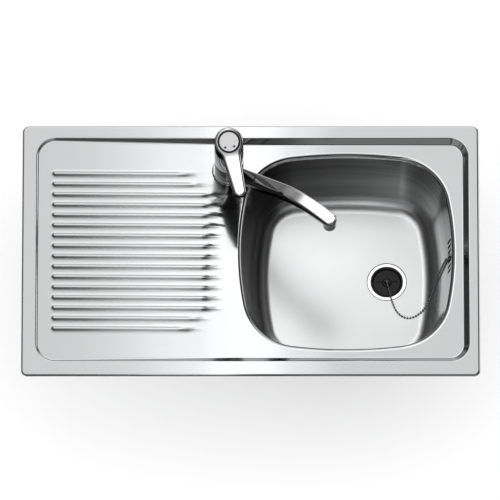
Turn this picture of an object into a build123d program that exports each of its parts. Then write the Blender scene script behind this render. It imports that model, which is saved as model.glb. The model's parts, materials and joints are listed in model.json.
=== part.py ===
from build123d import *
import os
from math import atan2, cos, hypot, pi, radians, sin, sqrt, tan

# Inset kitchen sink: ribbed drainboard on the left, one bowl on the right, single-lever mixer.
# Millimetres. z = 0 is the worktop that the rim rests on, x runs to the right, y to the back.

# ---- pressed sheet ----
sheet = 0.8               # thickness of the stainless sheet
rim_length = 860.0
rim_width = 500.0
rim_height = 6.0          # rim's flat top above the worktop
rim_corner = 12.0
rim_edge_roll = 4.5       # radius of the turned-down edge
rim_edge_gap = 0.6        # the edge stops this far above the worktop

# ---- tray: the recess that holds the drainer and the bowl ----
rim_left = 27.0           # flat rim between the outer edge and the tray
rim_right = 20.0
rim_front = 29.0
rim_back = 25.0
tray_corner = 37.0
tray_depth = 10.0         # rim top to the landing round the bowl
tray_wall_angle = 46.0    # wall's lean from the vertical
tray_top_roll = 3.5
tray_foot_roll = 4.0
drainer_rise = 7.25       # height that the drainer climbs to its left end
drainer_end_gap = 11.8    # bowl's edge to where the drainer's fall meets the landing
drainer_bend = 7.0        # half length of the soft bend there

# ---- ribs pressed up in the drainer ----
rib_count = 16
rib_pitch = 20.6
rib_height = 3.0
rib_crest_radius = 4.0
rib_foot_half = 9.8       # centre line to where the hollow flank runs out
rib_sink = 0.05           # flank crosses the drainer's floor instead of only touching it
rib_left_margin = 52.0    # rim's left edge to the ribs
rib_gap = 8.4             # ribs' right ends to the drainer's end
rib_gap_next_last = 32.8  # second and last but one
rib_gap_last = 47.5       # first and last, which leave room for the tap

# ---- bowl ----
bowl_right_margin = 44.2  # rim's right edge to the bowl's visible edge
bowl_side_margin = 50.7   # rim's front and back edges to the bowl's visible edge
bowl_half_length = 205.5  # half size of the visible edge, before the lip rolls in
bowl_bow_ends = 555.0     # radius of the bowed left and right sides
bowl_bow_sides = 840.0    # radius of the bowed front and back sides
bowl_corner = 108.0
bowl_depth = 166.0        # landing to floor
bowl_draft = 12.0
bowl_lip_roll = 8.5
bowl_bottom_roll = 24.0
seam_below_landing = 7.3  # level where the bowl is welded under the deck's lip

# ---- waste ----
waste_wall_gap = 128.2    # bowl's right edge to the waste's axis
waste_seat_radius = 38.0
waste_seat_depth = 2.5
waste_hole_radius = 32.5
flange_radius = 36.5
flange_wall = 1.2
flange_neck_radius = 31.9
flange_step_depth = 8.0   # flange's top to the shoulder that carries the plug
flange_step_width = 5.4
flange_cup_depth = 16.0
flange_cup_taper = 2.5
strainer_holes = 8
strainer_hole_radius = 3.4
strainer_ring_radius = 15.5
gasket_thickness = 1.0
gasket_inner_radius = 33.0
washer_thickness = 3.0
waste_body_radius = 42.0
waste_body_flange = 3.5
waste_wall = 3.0
waste_cup_length = 34.0
waste_cone_length = 12.0
outlet_radius = 23.9      # G 1 1/2 pipe thread, outside
outlet_length = 24.0
outlet_bore_radius = 19.0
spider_arms = 3
spider_thickness = 6.0
boss_radius = 7.5
insert_flats = 9.0
waste_screw_radius = 3.0
waste_screw_head_radius = 5.5
waste_screw_head = 2.2
waste_screw_length = 22.0

# ---- plug and its chain ----
plug_radius = 30.3
plug_rise = 0.3           # plug's rim above the flange's top
plug_neck_radius = 24.6
plug_neck_taper = 1.2
plug_neck_length = 5.0
plug_seat_gap = 0.05
plug_dish_radius = 26.5
plug_dish_depth = 4.2
plug_hub_radius = 7.0
plug_hub_drop = 1.5
plug_pocket_length = 12.0
plug_pocket_width = 6.0
plug_pocket_depth = 2.0
plug_pocket_x = 15.0
eye_wire = 1.1
eye_radius = 3.4
chain_diameter = 3.2

# ---- overflow ----
overflow_below_landing = 22.0
slot_pitch = 9.7
slots_each_side = 3
slot_length = 27.5
slot_width = 3.0
overflow_screw_radius = 2.5
overflow_screw_length = 17.0
overflow_head_length = 78.0
overflow_head_height = 36.0
overflow_head_depth = 20.0
overflow_wall = 2.5
overflow_gasket_thickness = 3.0
spigot_radius = 11.0
spigot_wall = 2.0
spigot_length = 24.0
pipe_bend = 32.0
pipe_nut_radius = 15.0
pipe_nut_length = 13.0
anchor_thickness = 0.8
anchor_radius = 5.5
anchor_drop = 10.0

# ---- seal and fixings under the rim ----
cutout_margin = 10.0      # worktop cut-out, inside the rim's outline
cutout_corner = 8.0
seal_inset = 4.6          # inside the rim's rolled edge
rail_thickness = 1.0
rail_flange = 4.5
rail_drop = 14.0
rail_margin = 12.0        # rail's outer face, inside the rim's outline
rail_end_margin = 60.0
clip_width = 14.0
clip_thickness = 1.5
clip_gap = 0.3
clip_drop = 34.0          # below the rim's underside
clip_reach = 30.0         # foot, turned in under the sink as delivered
clip_screw_inset = 8.0    # screw from the foot's free end
clip_hook = 4.0
clip_screw_radius = 2.5
clip_screw_length = 18.0
clip_screw_head_radius = 5.0
clip_screw_head = 3.5
pad_thickness = 2.0
pad_length = 150.0
pad_width = 200.0
pad_corner = 20.0

# ---- tap, measured up from the landing ----
tap_bowl_gap = 15.5       # bowl's left edge to the tap's axis
tap_back = 87.0           # rim's back edge to the tap's axis
tap_hole_radius = 17.5
tap_pad_radius = 30.0     # level pad pressed into the drainer's fall under the tap
tap_pad_lean = 70.0       # pad's side from the vertical
tap_pad_margin = 11.0     # pad's edge to the nearest rib end
tap_radius = 27.4
tap_gasket = 1.5
base_ring_height = 6.0
core_radius = 19.5
core_foot_radius = 16.8
core_foot_drop = 3.5      # below the landing, inside the deck's hole
running_gap = 0.05
slide_ring = 1.0
collar_height = 50.0
tap_body_top = 122.0
chamber_radius = 18.5
cartridge_height = 30.0
cartridge_nut_height = 6.0
inlet_radius = 5.0
inlet_depth = 12.0
inlet_spacing = 15.0
inlet_back = 4.5
stud_radius = 4.0
stud_front = 10.0
stud_length = 62.0
stud_in_body = 12.0
stiffener_thickness = 3.0
stiffener_length = 76.0
stiffener_width = 69.0
stiffener_x = -8.0        # its centre, left of the tap's axis to clear the bowl's lip
clamp_radius = 25.0
clamp_rubber = 2.0
clamp_steel = 2.5
tap_nut_radius = 6.5
tap_nut_length = 22.0
o_ring_section = 2.0
o_ring_stand = 14.0       # each O-ring from its end of the collar

# ---- spout ----
spout_azimuth = -38.0
spout_reach = 238.7
spout_rise_angle = 40.0
spout_bend = 150.0
spout_level = 131.5       # centre line of the level end
spout_root_width = 27.0
spout_root_height = 27.0
spout_tip_width = 24.5
spout_tip_height = 18.0
spout_corner = 0.36       # corner radius as a share of the section's height
spout_root = 12.0         # reach where the arm starts, inside the collar
spout_wall = 3.0
spout_port_radius = 4.0
outlet_boss_radius = 12.3
outlet_boss_drop = 12.0
aerator_radius = 12.15
aerator_length = 14.0
aerator_wall = 1.3
aerator_thread = 5.0

# ---- handle ----
lever_azimuth = -78.5
handle_radius = 27.3
pivot_rise = 6.0          # tilt axis above the tap body's top
dome_radius = 23.5
dome_wall = 2.0
dome_gap = 0.9
handle_top = 156.0        # centre of the slanted top
handle_slant = 17.0
handle_skirt = 5.0
lever_reach = 108.0
lever_root_half = 17.5
lever_tip_half = 9.2
lever_top = 147.5
lever_root_bottom = 132.0
lever_tip_bottom = 139.0
lever_edge = 1.6
lever_top_blend = 40.0    # where the slanted top runs into the level lever
shoulder_radius = 22.0
indicator_radius = 19.4
indicator_thickness = 2.4
indicator_groove = 2.0
indicator_pocket = 2.0
mark_radius = 1.6
mark_ring = 11.5
mark_spread = 32.0
stem_side = 8.0
stem_top = 20.0
rotor_radius = 12.0
handle_screw_radius = 2.5
handle_screw_seat = 1.5   # thickness of the cap under the screw's head

# ---- cutting blocks ----
tool_reach = 60.0         # how far they reach past what they cut

# ---- worked out ----
bowl_half_width = rim_width / 2 - bowl_side_margin
bowl_x = rim_length / 2 - bowl_right_margin - bowl_half_length
bowl_left = bowl_x - bowl_half_length
waste_x = bowl_x + bowl_half_length - waste_wall_gap
drainer_end = bowl_left - drainer_end_gap
rib_left = rib_left_margin - rim_length / 2
tap_x = bowl_left - tap_bowl_gap
tap_y = rim_width / 2 - tap_back
rim_top = rim_height
rim_under = rim_top - sheet
landing = rim_top - tray_depth
floor = landing - bowl_depth
tray_length = rim_length - rim_left - rim_right
tray_width = rim_width - rim_front - rim_back
tray_x = (rim_left - rim_right) / 2
tray_y = (rim_front - rim_back) / 2
drainer_slope = atan2(drainer_rise, drainer_end - (-rim_length / 2 + rim_left))
lip_inset = bowl_lip_roll * tan(radians(90 - bowl_draft) / 2)
seam = landing - seam_below_landing
overflow_z = landing - overflow_below_landing
tap_place = Pos(tap_x, tap_y, landing)
waste_place = Pos(waste_x, 0, floor)
os.makedirs("parts", exist_ok=True)


def save(shape, name):
    """Write one node's solids to its own file."""
    export_step(shape, f"parts/{name}.step")
    print(f"{name}: {len(shape.solids())} solid(s), {shape.volume:.0f} mm3")


def plate(length, width, corner, low, high, x=0, y=0):
    """Upright block with rounded corners between two levels."""
    return extrude(Pos(x, y, low) * RectangleRounded(length, width, corner), high - low)


def disc(radius, low, high, inner=0, x=0, y=0):
    """Upright cylinder or ring between two levels."""
    ring = Circle(radius) - Circle(inner) if inner else Circle(radius)
    return extrude(Pos(x, y, low) * ring, high - low)


def turned(points):
    """Solid turned about the z axis from a closed outline of (radius, height) points."""
    outline = make_face(Polyline([(r, 0, z) for r, z in points], close=True))
    return revolve(outline, Axis.Z)


# ================= pressed sheet =================
# Each void is the space above the sheet. Grown by the sheet's thickness, it reaches the
# sheet's underside, so the metal is the grown void less the plain one.

def drainer_height(x):
    """Level of the tray's floor at x, without ribs."""
    start = drainer_end - drainer_bend
    finish = drainer_end + drainer_bend
    if x <= start:
        return landing + (drainer_end - x) * tan(drainer_slope)
    if x >= finish:
        return landing
    return landing + tan(drainer_slope) * (finish - x) ** 2 / (4 * drainer_bend)


def tray_floor_block(grow):
    """Everything below the tray's floor: the drainer's fall, a soft bend and the level landing."""
    reach = rim_length
    start, finish = drainer_end - drainer_bend, drainer_end + drainer_bend
    far_left = drainer_end - reach
    line = Line((far_left, 0, drainer_height(far_left)), (start, 0, drainer_height(start)))
    bend = Bezier((start, 0, drainer_height(start)), (drainer_end, 0, landing), (finish, 0, landing))
    level = Line((finish, 0, landing), (reach, 0, landing))
    base = landing - tool_reach
    sides = Polyline((reach, 0, landing), (reach, 0, base), (far_left, 0, base),
                     (far_left, 0, drainer_height(far_left)))
    outline = make_face([*line.edges(), *bend.edges(), *level.edges(), *sides.edges()])
    return Pos(0, 0, -grow) * extrude(outline, rim_width, dir=(0, 1, 0), both=True)


def tray_void(grow):
    """Tray recess: leaning walls down to the floor, with a rolled foot all round."""
    lean = tan(radians(tray_wall_angle))
    side = grow / cos(radians(tray_wall_angle))
    high = rim_top + 2.0
    low = landing - 3.0

    def outline(level):
        out = side - (rim_top - level) * lean
        return Pos(tray_x, tray_y, level) * RectangleRounded(
            tray_length + 2 * out, tray_width + 2 * out, tray_corner + out)

    cone = loft([outline(low), outline(high)], ruled=True)
    void = cone - tray_floor_block(grow)

    def on_floor(vertex):
        return abs(vertex.Z - (drainer_height(vertex.X) - grow)) < 0.01

    crossings = [drainer_end - drainer_bend, drainer_end + drainer_bend]
    feet = [e for e in void.edges() if all(on_floor(v) for v in e.vertices())
            and not any(abs(e.center().X - x) < 0.01 and abs(e.center().Y - tray_y) < 1 for x in crossings)]
    void = fillet(feet, tray_foot_roll + grow)
    pad_side, pad_rise = radians(tap_pad_lean), 3.0
    pad_foot = tap_pad_radius - grow * tan(pad_side) + grow / cos(pad_side)
    pad = Cone(pad_foot, pad_foot + pad_rise * tan(pad_side), pad_rise, align=(Align.CENTER, Align.CENTER, Align.MIN))
    return void + Pos(tap_x, tap_y, landing - grow) * pad


def rib_profile(grow, half):
    """Rib's section in the local yz plane: round crest, hollow flanks, flat foot below the floor."""
    flank = (rib_foot_half ** 2 + rib_height ** 2) / (2 * rib_height) - rib_crest_radius
    crest = rib_crest_radius - grow
    crest_z = rib_height - rib_crest_radius - rib_sink
    flank_z = flank - rib_sink
    lean = atan2(flank_z - crest_z, rib_foot_half)
    top = (0, 0, crest_z + crest)
    foot = flank_z - flank - grow
    base = foot - 4.0

    def side(sign):
        touch = (0, sign * crest * cos(lean), crest_z + crest * sin(lean))
        crest_mid = (0, sign * crest * cos((lean + pi / 2) / 2), crest_z + crest * sin((lean + pi / 2) / 2))
        turn = (lean + pi / 2) / 2
        reach = flank + grow
        flank_mid = (0, sign * (rib_foot_half - reach * cos(turn)), flank_z - reach * sin(turn))
        out = (0, sign * rib_foot_half, foot)
        arcs = [ThreePointArc(top, crest_mid, touch), ThreePointArc(touch, flank_mid, out)]
        return arcs + [Line(out, (0, sign * rib_foot_half, base))]

    edges = side(1)
    if half:
        edges += [Line((0, rib_foot_half, base), (0, 0, base)), Line((0, 0, base), top)]
    else:
        edges += side(-1) + [Line((0, rib_foot_half, base), (0, -rib_foot_half, base))]
    return make_face(edges)


def rib(grow, left, right, y):
    """One rib with round ends, laid along the drainer's fall."""
    run = (right - left) / cos(drainer_slope) - 2 * rib_foot_half
    start = (left - drainer_end) / cos(drainer_slope) + rib_foot_half
    bar = extrude(rib_profile(grow, False), run, dir=(1, 0, 0))
    nose = revolve(rib_profile(grow, True), Axis.Z, 180)
    tail = Pos(run, 0, 0) * revolve(rib_profile(grow, True), Axis((0, 0, 0), (0, 0, -1)), 180)
    lie = Location(Plane(origin=(drainer_end, y, landing), x_dir=(cos(drainer_slope), 0, -sin(drainer_slope)),
                         z_dir=(sin(drainer_slope), 0, cos(drainer_slope))))
    return lie * Pos(start, 0, 0) * (bar + nose + tail)


def rib_lines():
    """Centre line y and right end x of each rib, from front to back."""
    rows = []
    for i in range(rib_count):
        nearest_edge = min(i, rib_count - 1 - i)
        gap = {0: rib_gap_last, 1: rib_gap_next_last}.get(nearest_edge, rib_gap)
        y, right = (i - (rib_count - 1) / 2) * rib_pitch, drainer_end - gap
        beside, clear = tap_y - abs(y), tap_pad_radius + tap_pad_margin
        if abs(beside) < clear:      # the pattern is the same at the front, where there is no tap
            right = min(right, tap_x - sqrt(clear ** 2 - beside ** 2))
        rows.append((y, right))
    return rows


def bowl_outline(inset, level):
    """Bowl's outline, drawn in by inset: four bowed sides and four corner arcs, all tangent."""
    side_x = bowl_half_length - bowl_bow_ends      # centre of the right side's arc, on the x axis
    side_y = bowl_half_width - bowl_bow_sides      # centre of the back side's arc, on the y axis
    ra, rb = bowl_bow_ends - bowl_corner, bowl_bow_sides - bowl_corner
    gap = hypot(side_x, side_y)
    along = (gap ** 2 + ra ** 2 - rb ** 2) / (2 * gap)
    off = sqrt(ra ** 2 - along ** 2)
    ux, uy = -side_x / gap, side_y / gap
    corner_x = side_x + ux * along + uy * -off
    corner_y = uy * along + ux * off
    end_angle = atan2(corner_y, corner_x - side_x)
    top_angle = atan2(corner_y - side_y, corner_x)
    radius = bowl_corner - inset

    def place(cx, cy, r, angle, sx=1, sy=1):
        return (bowl_x + sx * (cx + r * cos(angle)), sy * (cy + r * sin(angle)), level)

    edges = []
    for sx in (1, -1):
        edges.append(ThreePointArc(*[place(side_x, 0, bowl_bow_ends - inset, a, sx) for a in
                                     (-end_angle, 0, end_angle)]))
        for sy in (1, -1):
            edges.append(ThreePointArc(*[place(corner_x, corner_y, radius, a, sx, sy) for a in
                                         (end_angle, (end_angle + top_angle) / 2, top_angle)]))
    for sy in (1, -1):
        edges.append(ThreePointArc(*[place(0, side_y, bowl_bow_sides - inset, a, 1, sy) for a in
                                     (top_angle, pi / 2, pi - top_angle)]))
    return make_face(edges)


def wall_inset(level, grow=0):
    """How far the bowl's wall lies inside its visible edge at a level."""
    return lip_inset + (landing - level) * tan(radians(bowl_draft)) - grow / cos(radians(bowl_draft))


def bowl_void(grow):
    """Bowl: drafted walls, a rolled bottom and the pressed seat for the waste."""
    high, low = landing + 1.0, floor - grow
    walls = loft([bowl_outline(wall_inset(low, grow), low), bowl_outline(wall_inset(high, grow), high)], ruled=True)
    walls = fillet(walls.edges().group_by(Axis.Z)[0], bowl_bottom_roll + grow)
    seat = disc(waste_seat_radius + grow, floor - waste_seat_depth - grow, floor + 1.0, x=waste_x)
    return walls + seat


def air_void(grow):
    """All of the space above the sheet, with its rolled edges."""
    tray = tray_void(grow)
    for y, right in rib_lines():
        tray = tray - rib(grow, rib_left, right, y)
    void = tray + bowl_void(grow)
    lip = [e for e in void.edges() if abs(e.center().Z - (landing - grow)) < 0.01
           and abs(e.center().X - bowl_x) < bowl_half_length and abs(e.center().Y) < bowl_half_width
           and all(abs(v.Z - (landing - grow)) < 0.01 for v in e.vertices())]
    void = fillet(lip, bowl_lip_roll - grow)
    cover = plate(rim_length - 2 * rim_edge_roll, rim_width - 2 * rim_edge_roll, rim_corner - rim_edge_roll,
                  rim_top - grow, rim_top + tray_depth)
    void = void + cover
    edge = [e for e in void.edges() if all(abs(v.Z - (rim_top - grow)) < 0.01 for v in e.vertices())
            and abs(e.center().Z - (rim_top - grow)) < 0.01
            and abs(e.center().X) < rim_length / 2 - rim_edge_roll - 1
            and abs(e.center().Y) < rim_width / 2 - rim_edge_roll - 1]
    return fillet(edge, tray_top_roll - grow)


def rim_block(inset, top):
    """Block under the rim's outline with its top edge rolled over."""
    block = plate(rim_length - 2 * inset, rim_width - 2 * inset, rim_corner - inset, rim_edge_gap, top)
    return fillet(block.edges().group_by(Axis.Z)[-1], rim_edge_roll - inset)


def overflow_plane():
    """Frame on the bowl's right wall at the overflow screw: local y up the wall, z out through it."""
    lean = radians(bowl_draft)
    wall_x = bowl_x + bowl_half_length - wall_inset(overflow_z)
    return Plane(origin=(wall_x, 0, overflow_z), x_dir=(0, 1, 0), z_dir=(cos(lean), 0, -sin(lean)))


def overflow_cuts():
    """Upright slots each side of the overflow screw's hole."""
    cuts = [Pos(0, 0, -4) * Cylinder(overflow_screw_radius + 0.1, 12, align=(Align.CENTER, Align.CENTER, Align.MIN))]
    for i in range(1, slots_each_side + 1):
        for side in (-1, 1):
            slot = Pos(side * i * slot_pitch, 0, -4) * Rot(0, 0, 90) * SlotOverall(slot_length, slot_width)
            cuts.append(extrude(slot, 12))
    return [Location(overflow_plane()) * cut for cut in cuts]


def pressed_sheet():
    """The whole pressing with its holes."""
    lid = rim_block(0, rim_top) - rim_block(sheet, rim_under)
    trim = Pos(0, 0, rim_top) * Box(2 * rim_length, 2 * rim_width, tool_reach, align=(Align.CENTER, Align.CENTER, Align.MIN))
    metal = lid + (air_void(sheet) - trim) - air_void(0)
    metal = metal - disc(tap_hole_radius, landing - tool_reach, landing + tool_reach, x=tap_x, y=tap_y)
    metal = metal - disc(waste_hole_radius, floor - tool_reach, floor + tool_reach, x=waste_x)
    for cut in overflow_cuts():
        metal = metal - cut
    return metal


def deck_and_bowl():
    """The pressing in its two welded pieces."""
    metal = pressed_sheet()
    cut = Plane.XY.offset(seam)
    return split(metal, bisect_by=cut, keep=Keep.TOP), split(metal, bisect_by=cut, keep=Keep.BOTTOM)


deck, bowl = deck_and_bowl()
save(deck, "deck")
save(bowl, "bowl")


# ================= waste =================
# Local frame: the waste's axis, with z = 0 at the bowl's floor.
flange_top = -waste_seat_depth + gasket_thickness + flange_wall
shoulder_z = flange_top - flange_step_depth
strainer_z = flange_top - flange_cup_depth
under_bowl = -waste_seat_depth - sheet
body_top = under_bowl - washer_thickness
cup_bottom = body_top - waste_cup_length
cone_bottom = cup_bottom - waste_cone_length
outlet_end = cone_bottom - outlet_length
cup_outer = gasket_inner_radius + waste_wall
spigot_z = body_top - waste_body_flange - spigot_radius - 6.0
spider_z = cup_bottom + spider_thickness + 2.0


def waste_flange():
    """Steel strainer cup with a rim on the seat and a shoulder that carries the plug."""
    step_r = flange_neck_radius - flange_step_width
    cup_r = step_r - flange_cup_taper
    w = flange_wall
    cup = turned([
        (0, strainer_z), (cup_r - w, strainer_z), (step_r - w, shoulder_z - w), (step_r - w, shoulder_z),
        (flange_neck_radius - w, shoulder_z), (flange_neck_radius - w, flange_top), (flange_radius, flange_top),
        (flange_radius, flange_top - w), (flange_neck_radius, flange_top - w), (flange_neck_radius, shoulder_z - w),
        (step_r, shoulder_z - w), (cup_r, strainer_z - w), (0, strainer_z - w)])
    rim = [e for e in cup.edges().filter_by(GeomType.CIRCLE) if abs(e.center().Z - flange_top) < 0.01]
    cup = fillet(rim, flange_wall / 3)
    hole = Cylinder(strainer_hole_radius, 4 * w)
    cup = cup - PolarLocations(strainer_ring_radius, strainer_holes) * (Pos(0, 0, strainer_z) * hole)
    return cup - Pos(0, 0, strainer_z) * Cylinder(waste_screw_radius + 0.2, 4 * w)


def waste_body():
    """Moulded waste: clamp flange, cup with an overflow spigot, cone, threaded outlet and a spider for the screw."""
    inner, w = gasket_inner_radius, waste_wall
    body = turned([
        (inner, body_top), (waste_body_radius, body_top), (waste_body_radius, body_top - waste_body_flange),
        (cup_outer, body_top - waste_body_flange), (cup_outer, cup_bottom), (outlet_radius, cone_bottom),
        (outlet_radius, outlet_end), (outlet_bore_radius, outlet_end), (outlet_bore_radius, cone_bottom + w),
        (inner, cup_bottom + w)])
    root = Plane(origin=(inner + 1.0, 0, spigot_z), x_dir=(0, 1, 0), z_dir=(1, 0, 0))
    body = body + Location(root) * Cylinder(spigot_radius, spigot_length, align=(Align.CENTER, Align.CENTER, Align.MIN))
    body = body - Location(root) * Pos(0, 0, -w) * Cylinder(
        spigot_radius - spigot_wall, spigot_length + 2 * w, align=(Align.CENTER, Align.CENTER, Align.MIN))
    boss = disc(boss_radius, spider_z - 14.0, spider_z)
    for i in range(spider_arms):
        arm = Pos((inner + 1.0) / 2, 0, spider_z - spider_thickness) * Box(
            inner + 1.0, 4.0, spider_thickness, align=(Align.CENTER, Align.CENTER, Align.MIN))
        boss = boss + Rot(0, 0, 60 + i * 360 / spider_arms) * arm
    boss = boss - extrude(Pos(0, 0, spider_z - 10.0) * RegularPolygon(insert_flats / 2, 6, major_radius=False), 10.0)
    return body + boss


def waste_insert():
    """Brass hexagon moulded into the boss, bored for the waste screw."""
    bar = extrude(Pos(0, 0, spider_z - 10.0) * RegularPolygon(insert_flats / 2, 6, major_radius=False), 10.0)
    return bar - Pos(0, 0, spider_z) * Cylinder(waste_screw_radius, tool_reach)


def waste_screw():
    """Screw that pulls the strainer down on the moulded waste."""
    head = disc(waste_screw_head_radius, strainer_z, strainer_z + waste_screw_head)
    head = fillet(head.edges().group_by(Axis.Z)[-1], 0.8)
    slot = Pos(0, 0, strainer_z + waste_screw_head) * Box(2 * waste_screw_head_radius, 1.2, 2.0)
    return head - slot + disc(waste_screw_radius, strainer_z - waste_screw_length, strainer_z)


save(waste_place * disc(flange_radius - 0.5, -waste_seat_depth, -waste_seat_depth + gasket_thickness,
                        gasket_inner_radius), "waste_gasket")
save(waste_place * waste_flange(), "waste_flange")
save(waste_place * disc(waste_body_radius, body_top, under_bowl, gasket_inner_radius), "waste_washer")
save(waste_place * waste_body(), "waste_body")
save(waste_place * waste_insert(), "waste_insert")
save(waste_place * waste_screw(), "waste_screw")


# ================= plug and chain =================
plug_seat = shoulder_z + plug_seat_gap
plug_rim_z = flange_top + plug_rise
dish_z = plug_rim_z - plug_dish_depth
hub_z = plug_rim_z - plug_hub_drop


def plug():
    """Rubber plug: dished top with a hub and two finger pockets, and a neck that fits the strainer cup."""
    neck_end = plug_seat - plug_neck_length
    body = turned([
        (0, hub_z), (plug_hub_radius, hub_z), (plug_hub_radius + 2.0, dish_z), (plug_dish_radius - 1.5, dish_z),
        (plug_dish_radius, plug_rim_z - 1.0), (plug_dish_radius + 1.2, plug_rim_z), (plug_radius - 0.8, plug_rim_z),
        (plug_radius, plug_rim_z - 0.8), (plug_radius, plug_seat), (plug_neck_radius, plug_seat),
        (plug_neck_radius - plug_neck_taper, neck_end), (plug_neck_radius - plug_neck_taper - 3.0, neck_end),
        (plug_neck_radius - plug_neck_taper - 3.0, plug_seat + 0.5), (plug_hub_radius, plug_seat + 0.5),
        (plug_hub_radius, plug_seat - 1.5), (0, plug_seat - 1.5)])
    for side in (-1, 1):
        pocket = Pos(side * plug_pocket_x, 0, dish_z - plug_pocket_depth) * SlotOverall(
            plug_pocket_length, plug_pocket_width)
        body = body - extrude(pocket, plug_pocket_depth + 1.0)
    return body - disc(eye_wire, hub_z - 5.0, hub_z + 1.0)


def plug_eye():
    """Wire eye on a shank that is moulded into the hub."""
    ring_z = hub_z + eye_radius + eye_wire + 0.05
    ring = Pos(0, 0, ring_z) * Rot(90, 0, 0) * Torus(eye_radius, eye_wire)
    return ring + disc(eye_wire, hub_z - 5.0, ring_z - eye_radius)


# the chain's route from the eye over the floor and up the wall, chosen by hand from the photograph,
# measured from the waste's axis at the bowl's floor
chain_route = [(waste_x + x, y, floor + z) for x, y, z in [
    (0.6, -2.6, 2.4), (3.0, -13.0, 2.1), (6.2, -26.0, 1.8), (10.0, -41.0, 1.8), (16.2, -57.0, 1.8),
    (26.4, -69.0, 1.8), (40.1, -73.6, 1.8), (53.4, -70.0, 1.8), (64.9, -61.0, 2.3), (73.6, -50.5, 4.3),
    (80.4, -38.5, 8.4), (86.0, -25.0, 16.5), (90.6, -15.5, 35.0), (97.3, -8.0, 65.0), (103.8, -2.5, 95.0),
    (108.8, 0.4, 118.0), (110.8, 0.0, 128.5)]]


def bend_radii(points):
    """Radius at each inner point: as large as the two runs beside it allow."""
    radii = []
    for a, b, c in zip(points, points[1:], points[2:]):
        before, after = Vector(*b) - Vector(*a), Vector(*c) - Vector(*b)
        turn = radians(before.get_angle(after))
        radii.append(0.45 * min(before.length, after.length) / tan(turn / 2))
    return radii


def chain():
    """The ball chain's outer size, as a plain tube along its route."""
    radii = bend_radii(chain_route)
    print("chain's bend radii:", " ".join(f"{r:.0f}" for r in radii))
    path = FilletPolyline(*chain_route, radius=radii)
    first = (Vector(*chain_route[1]) - Vector(*chain_route[0])).normalized()
    section = Plane(origin=chain_route[0], z_dir=first) * Circle(chain_diameter / 2)
    tube = sweep(section, path=path)
    print(f"chain: {path.length:.1f} mm long, volume ratio "
          f"{tube.volume / (path.length * pi * chain_diameter ** 2 / 4):.4f}")
    return tube


save(waste_place * plug(), "plug")
save(waste_place * plug_eye(), "plug_eye")
save(chain(), "plug_chain")


# ================= overflow =================
# Local frame of overflow_plane: x along the wall, y up the wall, z out through it.
overflow_place = Location(overflow_plane())
gasket_out = sheet + overflow_gasket_thickness
lean = radians(bowl_draft)
spigot_x = overflow_plane().origin.X + (gasket_out + overflow_head_depth / 2) * cos(lean) + 1.0
spigot_top = overflow_z - overflow_head_height / 2
spigot_end = spigot_top - spigot_length
pipe_turn_z = floor + spigot_z
waste_spigot_end = waste_x + gasket_inner_radius + 1.0 + spigot_length
pipe_radius = spigot_radius


def oblong(length, height, low, high):
    """Block with round ends along the wall, between two distances from the wall."""
    return extrude(Pos(0, 0, low) * RectangleRounded(length, height, height / 2 - 0.5), high - low)


def overflow_gasket():
    """Soft ring between the bowl's bowed wall and the flat mouth of the overflow head."""
    ring = oblong(overflow_head_length, overflow_head_height, -4.0, gasket_out)
    ring = ring - oblong(overflow_head_length - 8.0, overflow_head_height - 8.0, -5.0, gasket_out + 1.0)
    above = plate(rim_length, rim_width, rim_corner, seam - 0.1, rim_top)
    return overflow_place * ring - bowl_void(sheet) - above


def overflow_head():
    """Moulded hood behind the slots, with a screw boss and a spigot that points down."""
    w = overflow_wall
    back = gasket_out + overflow_head_depth
    hood = oblong(overflow_head_length, overflow_head_height, gasket_out, back)
    hood = fillet(hood.faces().sort_by(Axis.Z)[-1].edges(), 5.0)
    cavity = oblong(overflow_head_length - 2 * w, overflow_head_height - 2 * w, gasket_out - 1.0, back - w)
    cavity = fillet(cavity.faces().sort_by(Axis.Z)[-1].edges(), 3.0)
    spigot = disc(spigot_radius, spigot_end, overflow_z - 6.0, x=spigot_x)
    bore = disc(spigot_radius - spigot_wall, spigot_end - 1.0, overflow_z - 8.0, x=spigot_x)
    boss = disc(5.0, sheet + 0.3, back - w / 2) - disc(overflow_screw_radius, 0.0, back - w - 2.0)
    return overflow_place * (hood - cavity) + (spigot - overflow_place * cavity) - bore + overflow_place * boss


def overflow_screw():
    """Round-headed screw through the anchor and the wall into the hood's boss."""
    head = Pos(0, 0, -anchor_thickness) * Sphere(5.6)
    head = head & Pos(0, 0, -anchor_thickness) * Box(20, 20, 6.4, align=(Align.CENTER, Align.CENTER, Align.MAX))
    head = head & Pos(0, 0, -anchor_thickness) * Cylinder(4.7, 5.8)
    slot = Pos(0, 0, -anchor_thickness - 3.4) * Box(12, 1.1, 2.4)
    return overflow_place * (head - slot + disc(overflow_screw_radius, -anchor_thickness, overflow_screw_length))


def chain_anchor():
    """Thin tab under the screw's head, with a small hole for the chain's last link."""
    tab = Circle(anchor_radius) + Pos(0, -anchor_drop / 2) * Rectangle(4.0, anchor_drop) + Pos(0, -anchor_drop) * Circle(2.6)
    tab = extrude(Pos(0, 0, -anchor_thickness) * tab, anchor_thickness - 0.05)
    tab = tab - Pos(0, -anchor_drop, 0) * Cylinder(1.1, 4.0)
    return overflow_place * (tab - Cylinder(overflow_screw_radius, 4.0))


def overflow_pipe():
    """Moulded bend from the hood's spigot down behind the bowl and in to the waste."""
    path = FilletPolyline((spigot_x, 0, spigot_end), (spigot_x, 0, pipe_turn_z),
                          (waste_spigot_end, 0, pipe_turn_z), radius=pipe_bend)
    start = Plane(origin=(spigot_x, 0, spigot_end), z_dir=(0, 0, -1))
    return sweep(start * (Circle(pipe_radius) - Circle(pipe_radius - spigot_wall)), path=path)


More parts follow.
